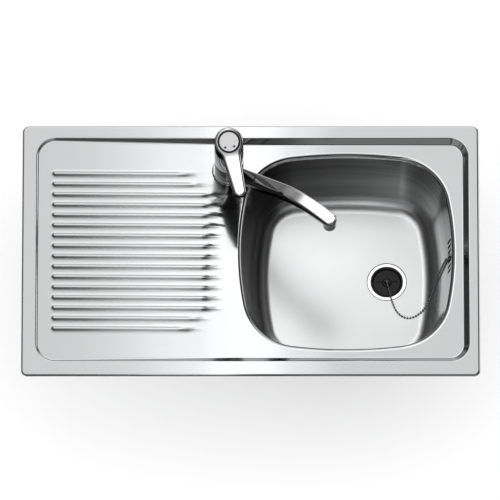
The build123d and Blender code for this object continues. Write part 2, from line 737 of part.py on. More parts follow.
def pipe_nuts():
    """Union nuts over the two joints of the pipe."""
    ribbed = RegularPolygon(pipe_nut_radius, 12) - Circle(pipe_radius)
    nut = extrude(Pos(0, 0, -pipe_nut_length / 2) * ribbed, pipe_nut_length)
    upper = Pos(spigot_x, 0, spigot_end) * nut
    lower = Pos(waste_spigot_end, 0, pipe_turn_z) * Rot(0, 90, 0) * nut
    return Compound([upper, lower])


save(overflow_gasket(), "overflow_gasket")
save(overflow_head(), "overflow_head")
save(overflow_screw(), "overflow_screw")
save(chain_anchor(), "chain_anchor")
save(overflow_pipe(), "overflow_pipe")
save(pipe_nuts(), "pipe_nuts")


# ================= seal and fixings under the rim =================
def ring_band(outer_inset, inner_inset, low, high, outer_corner, inner_corner):
    """Closed band that follows the rim between two insets."""
    outer = plate(rim_length - 2 * outer_inset, rim_width - 2 * outer_inset, outer_corner, low, high)
    inner = plate(rim_length - 2 * inner_inset, rim_width - 2 * inner_inset, inner_corner, low - 1, high + 1)
    return outer - inner


def rail(length):
    """L-shaped strip along x, welded under the rim: its foot points in (+y), its web hangs at y = 0."""
    foot = Box(length, rail_flange, rail_thickness, align=(Align.CENTER, Align.MIN, Align.MAX))
    web = Box(length, rail_thickness, rail_drop, align=(Align.CENTER, Align.MIN, Align.MAX))
    return foot + web


def clip_spots(length, count):
    """Even places along a rail."""
    return [(i - (count - 1) / 2) * length / count for i in range(count)]


def clip():
    """Folded steel clip: hook on the rail's web, leg down, and a foot turned in as delivered."""
    inner = rail_thickness + clip_gap
    high, low = -rail_thickness - 1.0, -clip_drop
    leg = Pos(0, inner, low) * Box(clip_width, clip_thickness, high - low, align=(Align.CENTER, Align.MIN, Align.MIN))
    foot = Pos(0, inner, low) * Box(clip_width, clip_reach, clip_thickness, align=(Align.CENTER, Align.MIN, Align.MIN))
    hook_depth = rail_thickness + 2 * clip_gap + 2 * clip_thickness
    hook = Pos(0, inner + clip_thickness, -rail_drop - clip_gap) * Box(
        clip_width, hook_depth, clip_thickness, align=(Align.CENTER, Align.MAX, Align.MAX))
    lip = Pos(0, -clip_gap, -rail_drop - clip_gap - clip_thickness) * Box(
        clip_width, clip_thickness, clip_hook + clip_thickness, align=(Align.CENTER, Align.MAX, Align.MIN))
    hole = Pos(0, clip_screw_y(), low) * Cylinder(clip_screw_radius, 10.0)
    return leg + foot + hook + lip - hole


def clip_screw_y():
    """Screw's place across the clip's foot, measured from the rail's outer face."""
    return rail_thickness + clip_gap + clip_reach - clip_screw_inset


def clip_screw():
    """Screw up through the clip's foot, which presses against the worktop once the clip is turned out."""
    low = -clip_drop
    shank = Pos(0, clip_screw_y(), 0) * disc(clip_screw_radius, low, low + clip_screw_length)
    head = Pos(0, clip_screw_y(), 0) * disc(clip_screw_head_radius, low - clip_screw_head, low)
    slot = Pos(0, clip_screw_y(), low - clip_screw_head) * Box(14.0, 1.2, 2.6)
    return shank + head - slot


side_rails = {
    "front": (rim_length - 2 * rail_end_margin, 0, (0, -rim_width / 2 + rail_margin), 3),
    "back": (rim_length - 2 * rail_end_margin, 180, (0, rim_width / 2 - rail_margin), 3),
    "left": (rim_width - 2 * rail_end_margin, -90, (-rim_length / 2 + rail_margin, 0), 2),
    "right": (rim_width - 2 * rail_end_margin, 90, (rim_length / 2 - rail_margin, 0), 2)}


def rail_place(side):
    """Where a side's rail sits, at the rim's underside."""
    _, turn, (x, y), _ = side_rails[side]
    return Pos(x, y, rim_under) * Rot(0, 0, turn)


def along_rails(piece):
    """One copy of a fixing at each clip's place."""
    copies = []
    for side, (length, _, _, count) in side_rails.items():
        copies += [rail_place(side) * Pos(x, 0, 0) * piece for x in clip_spots(length, count)]
    return Compound(copies)


save(ring_band(seal_inset, cutout_margin, 0.0, rim_under, rim_corner - seal_inset, cutout_corner), "rim_seal")
for side, (length, _, _, _) in side_rails.items():
    save(rail_place(side) * rail(length), f"clip_rail_{side}")
save(along_rails(clip()), "fixing_clips")
save(along_rails(clip_screw()), "clip_screws")
pad_x = waste_x - waste_body_radius - pad_length / 2 - 12.0
save(plate(pad_length, pad_width, pad_corner, floor - sheet - pad_thickness, floor - sheet, x=pad_x), "sound_pad")


# ================= tap =================
# Local frame: the tap's axis, with z = 0 at the landing.
ring_top = tap_gasket + base_ring_height
collar_low = ring_top + slide_ring + running_gap
collar_high = collar_low + collar_height
shoulder_low = collar_high + running_gap + slide_ring
pivot_z = tap_body_top + pivot_rise
core_bottom = -core_foot_drop
chamber_floor = tap_body_top - cartridge_nut_height - cartridge_height


def tap_body():
    """Turned brass body: foot in the deck's hole, core for the spout's collar, head with the cartridge chamber."""
    body = turned([
        (0, core_bottom), (core_foot_radius, core_bottom), (core_foot_radius, 0), (core_radius, tap_gasket),
        (core_radius, shoulder_low), (tap_radius, shoulder_low), (tap_radius, tap_body_top - 1.0),
        (tap_radius - 1.0, tap_body_top), (chamber_radius, tap_body_top), (chamber_radius, chamber_floor),
        (0, chamber_floor)])
    for x in (-inlet_spacing / 2, inlet_spacing / 2):
        body = body - disc(inlet_radius, core_bottom - 1, core_bottom + inlet_depth, x=x, y=inlet_back)
    body = body - disc(stud_radius, core_bottom - 1, core_bottom + stud_in_body, y=-stud_front)
    for z in o_ring_levels():
        body = body - disc(core_radius + 1, z - o_ring_section / 2, z + o_ring_section / 2,
                           core_radius - o_ring_section)
    return body


def o_ring_levels():
    """Heights of the two O-rings inside the spout's collar."""
    return [collar_low + o_ring_stand, collar_high - o_ring_stand]


def spout_o_rings():
    """O-rings in the core's grooves, flush with the core."""
    rings = [disc(core_radius, z - o_ring_section / 2, z + o_ring_section / 2, core_radius - o_ring_section)
             for z in o_ring_levels()]
    return Compound(rings)


def spout_stations(start):
    """Centre points (reach, height) and rise angles of the arm's sections, from a starting reach."""
    rise = radians(spout_rise_angle)
    bend_end = spout_level - spout_bend * (1 - cos(rise))
    arc_end = spout_reach - 18.0
    arc_start = arc_end - spout_bend * sin(rise)
    stations = []
    for share in (0.0, 0.5, 1.0):
        r = start + share * (arc_start - start)
        stations.append((r, bend_end - (arc_start - r) * tan(rise), rise))
    for share in (0.34, 0.67, 1.0):
        angle = rise * (1 - share)
        stations.append((arc_end - spout_bend * sin(angle), spout_level - spout_bend * (1 - cos(angle)), angle))
    stations.append((spout_reach, spout_level, 0.0))
    return stations


def spout_section(width, height):
    """Rounded section, flatter on top than a circle."""
    return RectangleRounded(width, height, spout_corner * height)


def spout_arm(start, wall):
    """The arm's outer form, or with a wall the water way inside it."""
    sections = []
    for r, z, angle in spout_stations(start):
        share = (r - spout_root) / (spout_reach - spout_root)
        width = spout_root_width + share * (spout_tip_width - spout_root_width)
        height = spout_root_height + share * (spout_tip_height - spout_root_height)
        frame = Plane(origin=(r, 0, z), x_dir=(0, 1, 0), z_dir=(cos(angle), 0, sin(angle)))
        sections.append(frame * RectangleRounded(width - 2 * wall, height - 2 * wall, spout_corner * height - wall))
    return loft(sections)


def spout():
    """Collar that turns on the core, an arm that rises and levels out, a round nose and the outlet boss."""
    arm = spout_arm(spout_root, 0)
    tip = Plane(origin=(spout_reach, 0, spout_level), x_dir=(0, 1, 0), z_dir=(1, 0, 0))
    half = spout_section(spout_tip_width, spout_tip_height) & Pos(spout_tip_width / 2, 0) * Rectangle(
        spout_tip_width, 2 * spout_tip_height)
    nose = revolve(tip * half, Axis((spout_reach, 0, 0), (0, 0, -1)), 180)
    boss_low = spout_level - spout_tip_height / 2 - outlet_boss_drop
    boss = disc(outlet_boss_radius, boss_low, spout_level, x=spout_reach)
    arm = arm + nose + boss
    below = Pos(0, 0, collar_low) * Box(spout_reach, 4 * tap_radius, spout_reach, align=(Align.CENTER, Align.CENTER, Align.MAX))
    collar = disc(tap_radius, collar_low, collar_high)
    body = collar + (arm - below)
    bore = disc(core_radius + running_gap, collar_low - tool_reach, collar_high + tool_reach)
    outlet = disc(aerator_radius - 1.7, boss_low - 1, boss_low + aerator_thread + 3.0, x=spout_reach)
    outlet = outlet + disc(spout_tip_height / 2 - 0.5, boss_low, spout_level, x=spout_reach)
    water_start = tap_radius + spout_wall
    water = spout_arm(water_start, spout_wall)
    port_z = (o_ring_levels()[0] + o_ring_levels()[1]) / 2 - spout_port_radius
    port = Pos(core_radius - 1, 0, port_z) * Rot(0, 90, 0) * Cylinder(
        spout_port_radius, water_start + 6.0 - core_radius, align=(Align.CENTER, Align.CENTER, Align.MIN))
    return Rot(0, 0, spout_azimuth) * (body - bore - outlet - water - port)


boss_end = spout_level - spout_tip_height / 2 - outlet_boss_drop
aerator_end = boss_end - aerator_length + aerator_thread


def aerator_shell():
    """Screw-in sleeve of the aerator with a gripping rim and its thread inside the outlet."""
    grip = disc(aerator_radius, aerator_end, boss_end - 0.4, aerator_radius - 1.7 - aerator_wall)
    notch = Pos(aerator_radius + 0.35, 0, aerator_end + 4.0) * Cylinder(0.8, 5.0)
    grip = grip - PolarLocations(0, 24) * notch
    thread = disc(aerator_radius - 1.75, aerator_end, boss_end + aerator_thread, aerator_radius - 1.75 - aerator_wall)
    return Rot(0, 0, spout_azimuth) * Pos(spout_reach, 0, 0) * (grip + thread)


def aerator_insert():
    """Moulded jet disc with a grid of holes."""
    radius = aerator_radius - 1.75 - aerator_wall
    body = disc(radius, aerator_end + 1.0, aerator_end + 7.0)
    for y in range(-2, 3):
        for x in range(-2, 3):
            if hypot(x, y) < 2.7:
                body = body - Pos(x * 2.7, y * 2.7, aerator_end) * Box(
                    1.9, 1.9, 30, align=(Align.CENTER, Align.CENTER, Align.CENTER))
    return Rot(0, 0, spout_azimuth) * Pos(spout_reach, 0, 0) * body


def aerator_washer():
    """Rubber ring between the aerator's thread and the outlet's end."""
    low = boss_end + aerator_thread
    return Rot(0, 0, spout_azimuth) * disc(aerator_radius - 1.8, low, low + 2.0, aerator_radius - 5.0, x=spout_reach)


def cartridge_housing():
    """Ceramic cartridge's housing with two locating pegs and a well for the turning part."""
    top = tap_body_top - cartridge_nut_height
    body = disc(chamber_radius - 0.1, chamber_floor, top)
    body = body - disc(rotor_radius + running_gap, top - 10.0, top + 1)
    return body


def cartridge_nut():
    """Brass ring nut that holds the cartridge down."""
    low = tap_body_top - cartridge_nut_height
    nut = disc(chamber_radius - 0.1, low, tap_body_top, rotor_radius + 1.0)
    for i in range(4):
        nut = nut - Rot(0, 0, 45 + i * 90) * Pos(rotor_radius + 2, 0, tap_body_top) * Box(4, 3, 3)
    return nut


def dome():
    """Round cover over the cartridge, which the handle swings round."""
    ball = Pos(0, 0, pivot_z) * (Sphere(dome_radius) - Sphere(dome_radius - dome_wall))
    band = disc(dome_radius + 1, tap_body_top, pivot_z + 13.0)
    return (ball & band) - disc(rotor_radius + 2.5, pivot_z, pivot_z + tool_reach)


def rotor_and_pin():
    """The cartridge part that turns with the handle, slotted for the stem, and the stem's pin."""
    low = tap_body_top - cartridge_nut_height - 10.0 + running_gap
    high = pivot_z + 5.0
    rotor = disc(rotor_radius, low, high)
    slot = Pos(0, 0, high - 15.0) * Box(2 * rotor_radius - 5.0, stem_side + 0.2, 40,
                                        align=(Align.CENTER, Align.CENTER, Align.MIN))
    pin_axis = Pos(0, 0, pivot_z) * Rot(90, 0, 0)
    rotor = rotor - slot - pin_axis * Cylinder(1.5, 2 * rotor_radius)
    pin = pin_axis * Cylinder(1.5, 2 * rotor_radius - 2.0)
    turn = Rot(0, 0, lever_azimuth)
    return turn * rotor, turn * pin


def cartridge_stem():
    """Square stem that tilts on the pin and carries the handle."""
    stem = Pos(0, 0, pivot_z - 4.5) * Box(stem_side, stem_side, 4.5 + stem_top,
                                          align=(Align.CENTER, Align.CENTER, Align.MIN))
    stem = stem - Pos(0, 0, pivot_z) * Rot(90, 0, 0) * Cylinder(1.5 + running_gap, 40)
    stem = stem - disc(handle_screw_radius, pivot_z + stem_top - 8.0, pivot_z + stem_top + 1)
    return Rot(0, 0, lever_azimuth) * stem


# The handle is drawn with its lever along local x and turned to its azimuth at the end.
slant_plane = Plane(origin=(0, 0, handle_top), x_dir=(cos(radians(handle_slant)), 0, -sin(radians(handle_slant))),
                    z_dir=(sin(radians(handle_slant)), 0, cos(radians(handle_slant))))


def handle():
    """Cap with a slanted round top and a tapered lever, hollow underneath to swing over the dome."""
    tip_x = lever_reach - lever_tip_half
    wedge = make_face(Polyline((0, -lever_root_half), (tip_x, -lever_tip_half), (tip_x, lever_tip_half),
                               (0, lever_root_half), close=True))
    plan = Circle(handle_radius) + wedge + Pos(tip_x, 0) * Circle(lever_tip_half)
    corners = [v for v in plan.vertices() if v.X < handle_radius]
    plan = fillet(corners, shoulder_radius)
    slope = tan(radians(handle_slant))
    meet = (handle_top - lever_top) / slope
    far = handle_radius + 20.0
    skirt = handle_skirt / handle_radius
    front = handle_radius + 1.5
    top_line = FilletPolyline((-far, 0, handle_top + far * slope), (meet, 0, lever_top),
                              (lever_reach + 20, 0, lever_top), radius=lever_top_blend)
    under_line = Polyline((lever_reach + 20, 0, lever_top), (lever_reach + 20, 0, lever_tip_bottom),
                          (front, 0, lever_root_bottom), (front, 0, pivot_z - front * skirt),
                          (-far, 0, pivot_z + far * skirt), (-far, 0, handle_top + far * slope))
    side_outline = make_face([*top_line.edges(), *under_line.edges()])
    block = extrude(Pos(0, 0, pivot_z - 40) * plan, 100)
    block = block & extrude(side_outline, 2 * handle_radius, dir=(0, 1, 0), both=True)
    rim = block.edges().filter_by(lambda e: e.center().Z > lever_top - 0.5 and abs((e % 0.5).Y) < 0.99)
    block = fillet(rim, lever_edge)
    cavity = Pos(0, 0, pivot_z) * Sphere(dome_radius + dome_gap)
    boss = disc(stem_side / 2 + 4.0, pivot_z + 10.0, handle_top + 4)
    cavity = cavity - boss
    block = block - cavity
    block = block - Pos(0, 0, pivot_z) * Box(stem_side, stem_side, stem_top, align=(Align.CENTER, Align.CENTER, Align.MIN))
    pocket = disc(indicator_radius + indicator_groove, -indicator_pocket, 10)
    block = block - Location(slant_plane) * pocket
    block = block - disc(handle_screw_radius, pivot_z, handle_top + 10)
    block = block - disc(handle_screw_radius + 2.2, pivot_z + stem_top + handle_screw_seat, handle_top + 10)
    return Rot(0, 0, lever_azimuth) * block


def handle_screw():
    """Screw down through the cap into the stem, hidden by the indicator."""
    seat = pivot_z + stem_top + handle_screw_seat
    screw = disc(handle_screw_radius, pivot_z + stem_top - 8.0, seat) + disc(handle_screw_radius + 2.0, seat, seat + 2.0)
    return Rot(0, 0, lever_azimuth) * screw


def indicator():
    """Round cap in the slanted top with two seats for the colour marks."""
    low = -indicator_pocket
    cap = disc(indicator_radius, low, low + indicator_thickness)
    cap = fillet(cap.edges().group_by(Axis.Z)[-1], 0.4)
    for x, y in mark_spots():
        cap = cap - disc(mark_radius, low + indicator_thickness - 0.5, low + indicator_thickness + 1, x=x, y=y)
    return Rot(0, 0, lever_azimuth) * Location(slant_plane) * cap


def mark_spots():
    """Places of the hot and cold marks on the indicator."""
    return [(mark_ring * cos(radians(a)), mark_ring * sin(radians(a))) for a in (-mark_spread, mark_spread)]


def mark(index):
    """One inlaid colour mark."""
    x, y = mark_spots()[index]
    top = indicator_thickness - indicator_pocket
    return Rot(0, 0, lever_azimuth) * Location(slant_plane) * disc(mark_radius, top - 0.5, top, x=x, y=y)


def stiffener():
    """Moulded plate that spreads the tap's load under the thin deck."""
    body = plate(stiffener_length, stiffener_width, 12.0, -sheet - stiffener_thickness, -sheet, x=stiffener_x)
    return body - disc(tap_hole_radius + 0.5, -40, 10)


def horseshoe(low, high):
    """C-shaped clamp washer with a slot for the stud, open to the back for the inlets."""
    body = disc(clamp_radius, low, high)
    gap = Pos(0, 8.0, low - 1) * Box(28.0, 22.0, high - low + 2, align=(Align.CENTER, Align.CENTER, Align.MIN))
    gap = gap + Pos(0, 22.0, low - 1) * Box(28.0, 20.0, high - low + 2, align=(Align.CENTER, Align.CENTER, Align.MIN))
    return body - gap - disc(stud_radius + 0.3, low - 1, high + 1, y=-stud_front)


clamp_top = -sheet - stiffener_thickness
rubber_low = clamp_top - clamp_rubber
steel_low = rubber_low - clamp_steel


def tap_nut():
    """Long hexagon nut on the stud."""
    hexagon = RegularPolygon(tap_nut_radius, 6, major_radius=False) - Circle(stud_radius)
    return extrude(Pos(0, -stud_front, steel_low - tap_nut_length) * hexagon, tap_nut_length)


rotor, stem_pin = rotor_and_pin()
tap_pieces = {
    "tap_gasket": disc(core_radius + 6.0, 0.0, tap_gasket, core_radius),
    "base_ring": disc(tap_radius, tap_gasket, ring_top, core_radius),
    "lower_slide_ring": disc(tap_radius - 0.6, ring_top, ring_top + slide_ring, core_radius),
    "upper_slide_ring": disc(tap_radius - 0.6, shoulder_low - slide_ring, shoulder_low, core_radius),
    "tap_body": tap_body(),
    "spout_o_rings": spout_o_rings(),
    "spout": spout(),
    "aerator_shell": aerator_shell(),
    "aerator_insert": aerator_insert(),
    "aerator_washer": aerator_washer(),
    "cartridge_housing": cartridge_housing(),
    "cartridge_nut": cartridge_nut(),
    "cartridge_dome": dome(),
    "cartridge_rotor": rotor,
    "stem_pin": stem_pin,
    "cartridge_stem": cartridge_stem(),
    "handle": handle(),
    "handle_screw": handle_screw(),
    "indicator_cap": indicator(),
    "hot_mark": mark(0),
    "cold_mark": mark(1),
    "tap_stiffener": stiffener(),
    "clamp_rubber": horseshoe(rubber_low, clamp_top),
    "clamp_plate": horseshoe(steel_low, rubber_low),
    "tap_stud": disc(stud_radius, core_bottom + stud_in_body - stud_length, core_bottom + stud_in_body, y=-stud_front),
    "tap_nut": tap_nut()}
for name, piece in tap_pieces.items():
    save(tap_place * piece, name)
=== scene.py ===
import bpy
import json
import numpy as np
from math import asin, atan, atan2, cos, hypot, pi, radians, sin, sqrt, tan
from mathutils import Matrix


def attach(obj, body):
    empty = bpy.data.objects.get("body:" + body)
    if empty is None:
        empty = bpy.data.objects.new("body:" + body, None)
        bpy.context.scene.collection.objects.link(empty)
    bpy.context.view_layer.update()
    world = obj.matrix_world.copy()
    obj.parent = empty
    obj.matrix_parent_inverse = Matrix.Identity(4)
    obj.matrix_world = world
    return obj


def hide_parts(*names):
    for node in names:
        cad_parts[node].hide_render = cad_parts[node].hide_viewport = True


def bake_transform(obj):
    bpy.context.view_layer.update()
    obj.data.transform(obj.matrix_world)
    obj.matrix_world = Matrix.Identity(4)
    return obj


# Inset steel sink with a ribbed drainboard and a single-lever mixer. Shapes are worked out in millimetres, in
# the frame of the CAD model, and turned into metres when a mesh is made.

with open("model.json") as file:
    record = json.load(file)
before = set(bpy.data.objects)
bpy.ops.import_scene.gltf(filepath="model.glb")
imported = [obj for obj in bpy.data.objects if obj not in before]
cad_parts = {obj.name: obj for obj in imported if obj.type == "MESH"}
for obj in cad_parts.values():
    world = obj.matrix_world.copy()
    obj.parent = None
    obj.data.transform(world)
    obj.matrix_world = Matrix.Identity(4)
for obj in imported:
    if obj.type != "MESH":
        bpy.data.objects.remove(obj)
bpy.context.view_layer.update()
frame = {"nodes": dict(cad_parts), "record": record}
nodes = frame["nodes"]
perMm = 0.001
print("frame loaded,", len(nodes), "nodes")


def picked(values, *names):
    return [values[name] for name in names]


def rows(*columns):
    # one array of points from its coordinates, each of which may be a number
    return np.stack(np.broadcast_arrays(*columns), axis=-1).astype(float)


def raised(plan, level):
    # points of a plan at a level
    return rows(plan[..., 0], plan[..., 1], level)


def around(angle):
    # unit directions in the plane
    return rows(np.cos(angle), np.sin(angle))


def joined(*parts):
    return np.concatenate(parts)


def between(at, run, points):
    # points of a line at given places of its run
    return rows(*(np.interp(at, run, column) for column in points.T))


def unit(vectors):
    return vectors / np.maximum(np.linalg.norm(vectors, axis=-1, keepdims=True), 1e-12)


def gridFaces(rowCount, columnCount, closed=False, start=0):
    # quads between neighbouring points of a grid that is stored row by row; closed joins its last column to its first
    number = start + np.arange(rowCount * columnCount).reshape(rowCount, columnCount)
    ahead = np.roll(number, -1, axis=1) if closed else number[:, 1:]
    here = number if closed else number[:, :-1]
    return np.stack([here[:-1], ahead[:-1], ahead[1:], here[1:]], axis=-1).reshape(-1, 4)


def weld(points, normals, faces):
    # points closer than 0.1 micron become one, and faces that shrink to a line go
    _, first, index = np.unique(np.round(points * 1e4).astype(np.int64), axis=0, return_index=True,
                                return_inverse=True)
    faces = index.reshape(-1)[faces]
    kept = (np.diff(np.sort(faces, axis=1), axis=1) == 0).sum(axis=1) < 2
    return points[first], normals[first], faces[kept]


def boundaryEdges(faces):
    # directed edges that only one face uses, in that face's own direction
    directed = joined(*(np.stack([faces[:, i], faces[:, (i + 1) % 4]], axis=1) for i in range(4)))
    directed = directed[directed[:, 0] != directed[:, 1]]
    _, first, counts = np.unique(np.sort(directed, axis=1), axis=0, return_index=True, return_counts=True)
    return directed[first[counts == 1]]


def addToScene(name, data):
    made = bpy.data.objects.new(name, data)
    bpy.context.scene.collection.objects.link(made)
    return made


def makePiece(name, points, faces, cornerNormals=None):
    # mesh object from quads; a quad whose corners repeat becomes a triangle
    mesh = bpy.data.meshes.new(name)
    repeats = faces == np.roll(faces, 1, axis=1)
    sizes = 4 - repeats.sum(axis=1)
    loops = faces[~repeats]
    mesh.vertices.add(len(points))
    mesh.vertices.foreach_set("co", (points * perMm).astype(np.float32).ravel())
    mesh.loops.add(len(loops))
    mesh.loops.foreach_set("vertex_index", loops.astype(np.int32))
    mesh.polygons.add(len(sizes))
    mesh.polygons.foreach_set("loop_start", joined([0], np.cumsum(sizes)[:-1]).astype(np.int32))
    mesh.update(calc_edges=True)
    mesh.validate()
    mesh.polygons.foreach_set("use_smooth", np.ones(len(mesh.polygons), bool))
    if cornerNormals is not None:
        mesh.normals_split_custom_set(cornerNormals[~repeats].tolist())
    return addToScene(name, mesh)


backFaces = {}      # each sheet's faces on its set-back skin


def sheetPiece(name, points, normals, faces, thickness):
    # closed sheet of even thickness: the given skin, the same skin set back along its normals, and strips
    # round every open edge
    points, normals, faces = weld(points, normals, faces)
    count, edges = len(points), boundaryEdges(faces)
    strips = np.stack([edges[:, 1], edges[:, 0], edges[:, 0] + count, edges[:, 1] + count], axis=1)
    both = joined(points, points - thickness * normals)
    across = unit(np.cross(both[strips[:, 1]] - both[strips[:, 0]], both[strips[:, 3]] - both[strips[:, 0]]))
    cornerNormals = joined(normals[faces], -normals[faces[:, ::-1]], np.repeat(across[:, None], 4, axis=1))
    backFaces[name] = np.arange(len(faces), 2 * len(faces))
    return makePiece(name, both, joined(faces, faces[:, ::-1] + count, strips), cornerNormals)


sheet = {
    "thickness": 0.8, "rimTop": 6.0, "length": 860.0, "width": 500.0, "rimCorner": 12.0, "edgeRoll": 4.5,
    "edgeGap": 0.6, "trayCorner": 37.0, "trayDepth": 10.0, "trayLean": radians(46.0), "topRoll": 3.5,
    "footRoll": 4.0, "rimLeft": 27.0, "rimRight": 20.0, "rimFront": 29.0, "rimBack": 25.0}
drainer = {
    "rise": 7.25, "end": -37.0, "bend": 7.0, "ribs": 16, "pitch": 20.6, "height": 3.0, "crest": 4.0,
    "foot": 9.8, "taper": 5.0, "left": -378.0, "right": [-84.5, -69.8, -45.4]}
bowlSize = {
    "x": 180.3, "halfLength": 205.5, "halfWidth": 199.3, "bowEnds": 555.0, "bowSides": 840.0,
    "corner": 108.0, "depth": 166.0, "draft": radians(12.0), "lipRoll": 8.5, "bottomRoll": 24.0, "seam": 7.3}
waste = {"x": 257.6, "seatRadius": 37.8, "seatDepth": 2.5, "holeRadius": 32.5, "step": 0.9}
slots = {"below": 22.0, "pitch": 9.7, "each": 3, "length": 27.5, "width": 5.4}
tapSpot = {"x": -40.7, "y": 163.0, "padRadius": 30.0, "padLean": radians(70.0)}

landing = sheet["rimTop"] - sheet["trayDepth"]
bowlFloor = landing - bowlSize["depth"]
trayLeft, trayRight = -sheet["length"] / 2 + sheet["rimLeft"], sheet["length"] / 2 - sheet["rimRight"]
trayFront, trayBack = -sheet["width"] / 2 + sheet["rimFront"], sheet["width"] / 2 - sheet["rimBack"]
fallSlope = drainer["rise"] / (drainer["end"] - trayLeft)


def ribRise(distance):
    # height of a rib at a distance from its centre line: a round crest, then a hollow flank that runs out flat
    height, radius, foot = picked(drainer, "height", "crest", "foot")
    flank = (foot ** 2 + height ** 2) / (2 * height) - radius
    crestZ = height - radius
    touch = radius * foot / hypot(flank - crestZ, foot)
    crest = crestZ + np.sqrt(np.maximum(radius ** 2 - distance ** 2, 0))
    hollow = flank - np.sqrt(np.maximum(flank ** 2 - (foot - distance) ** 2, 0))
    return np.where(distance < touch, crest, np.where(distance < foot, hollow, 0.0))


def trayHeight(x, y):
    # level of the tray's floor: the drainer's fall, its soft bend to the landing, the tap's level pad and the ribs
    end, bend, count, foot, taper = picked(drainer, "end", "bend", "ribs", "foot", "taper")
    start, finish = end - bend, end + bend
    fall = np.where(x <= start, (end - x) * fallSlope,
                    np.where(x >= finish, 0.0, fallSlope * (finish - x) ** 2 / (4 * bend)))
    away = np.maximum(np.hypot(x - tapSpot["x"], y - tapSpot["y"]) - tapSpot["padRadius"], 0)
    level = landing + np.minimum(fall, away / tan(tapSpot["padLean"]))
    rise = np.zeros(np.broadcast(x, y).shape)
    for i in range(count):
        line = (i - (count - 1) / 2) * drainer["pitch"]
        right = drainer["right"][min(i, count - 1 - i, 2)]
        nearest = np.clip(x, drainer["left"] + foot, right - taper * foot)
        past = (x - nearest) / np.where(x > nearest, taper, 1.0)        # the right end runs out longer
        rise = np.maximum(rise, ribRise(np.hypot(past, y - line)))
    return level + rise


def trayGrid(x, y, step=0.05):
    # points of the tray's floor and its upward normals, from its slopes
    slopeX = (trayHeight(x + step, y) - trayHeight(x - step, y)) / (2 * step)
    slopeY = (trayHeight(x, y + step) - trayHeight(x, y - step)) / (2 * step)
    return rows(x, y, trayHeight(x, y)), unit(rows(-slopeX, -slopeY, 1.0))


def bowlOutline(count=4000):
    # points and outward normals round the bowl's edge: two end arcs, two side arcs and four corner arcs
    ends, sides, corner = picked(bowlSize, "bowEnds", "bowSides", "corner")
    sideX, sideY = bowlSize["halfLength"] - ends, bowlSize["halfWidth"] - sides
    gap = hypot(sideX, sideY)
    along = (gap ** 2 + (ends - corner) ** 2 - (sides - corner) ** 2) / (2 * gap)
    off = sqrt((ends - corner) ** 2 - along ** 2)
    ux, uy = -sideX / gap, sideY / gap
    cornerX, cornerY = sideX + ux * along - uy * off, uy * along + ux * off
    turn = np.linspace(0, 2 * pi, count, endpoint=False)       # the outward normal's own angle
    nx, ny = np.cos(turn), np.sin(turn)
    quarter = np.arctan2(np.abs(ny), np.abs(nx))
    onEnd, onSide = quarter < atan2(cornerY, cornerX - sideX), quarter > atan2(cornerY - sideY, cornerX)
    centreX = np.where(onEnd, sideX, np.where(onSide, 0.0, cornerX)) * np.sign(nx)
    centreY = np.where(onEnd, 0.0, np.where(onSide, sideY, cornerY)) * np.sign(ny)
    radius = np.where(onEnd, ends, np.where(onSide, sides, corner))
    return rows(centreX + radius * nx, centreY + radius * ny), rows(nx, ny)


def outlineAt(angles):
    # the bowl's edge and its outward normal in given directions from the bowl's centre
    points, normals = bowlOutline()
    bearing = np.unwrap(np.arctan2(points[:, 1], points[:, 0]))
    bearing -= 2 * pi * np.floor(bearing[0] / (2 * pi) + 0.5)
    wrapped = bearing[0] + np.mod(angles - bearing[0], 2 * pi)
    bearing = np.append(bearing, bearing[0] + 2 * pi)
    spot, outward = (between(wrapped, bearing, joined(part, part[:1])) for part in (points, normals))
    return spot + [bowlSize["x"], 0], unit(outward)


def wallInset(level):
    # how far the bowl's wall stands inside its edge at a level
    return bowlSize["lipRoll"] * tan((pi / 2 - bowlSize["draft"]) / 2) + (landing - level) * tan(bowlSize["draft"])


def edgeRing(spot, outward, inset, level, tilt):
    # one ring along an edge: drawn in by inset, at a level, with its normals leaning inwards by tilt
    return raised(spot - np.reshape(inset, (-1, 1)) * outward, level), raised(-sin(tilt) * outward, cos(tilt))


def rolledRings(spot, outward, inset, level, radius, tilts):
    # rings over a rolled edge, from its lowest place at inset and level; a negative radius turns it upside down
    return [edgeRing(spot, outward, inset - radius * sin(tilt), level + radius * (1 - cos(tilt)), tilt)
            for tilt in tilts]


def trayPath(cornerX, straightX, leftY, seamX):
    # the tray's outline and its outward normals as a closed path: back, left, front, then round the bowl's side
    corner = sheet["trayCorner"]
    left, right, front, back = trayLeft + corner, trayRight - corner, trayFront + corner, trayBack - corner
    quarter = np.linspace(0, pi / 2, 17)
    arcTurn = np.interp(cornerX, [cornerX[0], left], [pi, 1.5 * pi])
    rightX, rightY = np.linspace(seamX, right, 100)[1:-1], np.linspace(front, back, 94)[1:-1]

    def side(x, y, nx, ny):
        points = rows(x, y)
        return points, np.broadcast_to([nx, ny], points.shape)

    def arc(x, y, turn):
        return around(turn) * corner + [x, y], around(turn)

    parts = [side(straightX[::-1], trayBack, 0.0, 1.0), arc(left, back, -arcTurn[::-1]),
             side(trayLeft, np.interp(leftY, [-leftY[-1], leftY[-1]], [front, back])[1:-1][::-1], -1.0, 0.0),
             arc(left, front, arcTurn), side(straightX, trayFront, 0.0, -1.0),
             side(rightX, trayFront, 0.0, -1.0), arc(right, front, quarter - pi / 2),
             side(trayRight, rightY, 1.0, 0.0), arc(right, back, quarter), side(rightX[::-1], trayBack, 0.0, 1.0)]
    path, out = map(np.concatenate, zip(*parts))
    return path, out, sum(len(points) for points, _ in parts[:5])


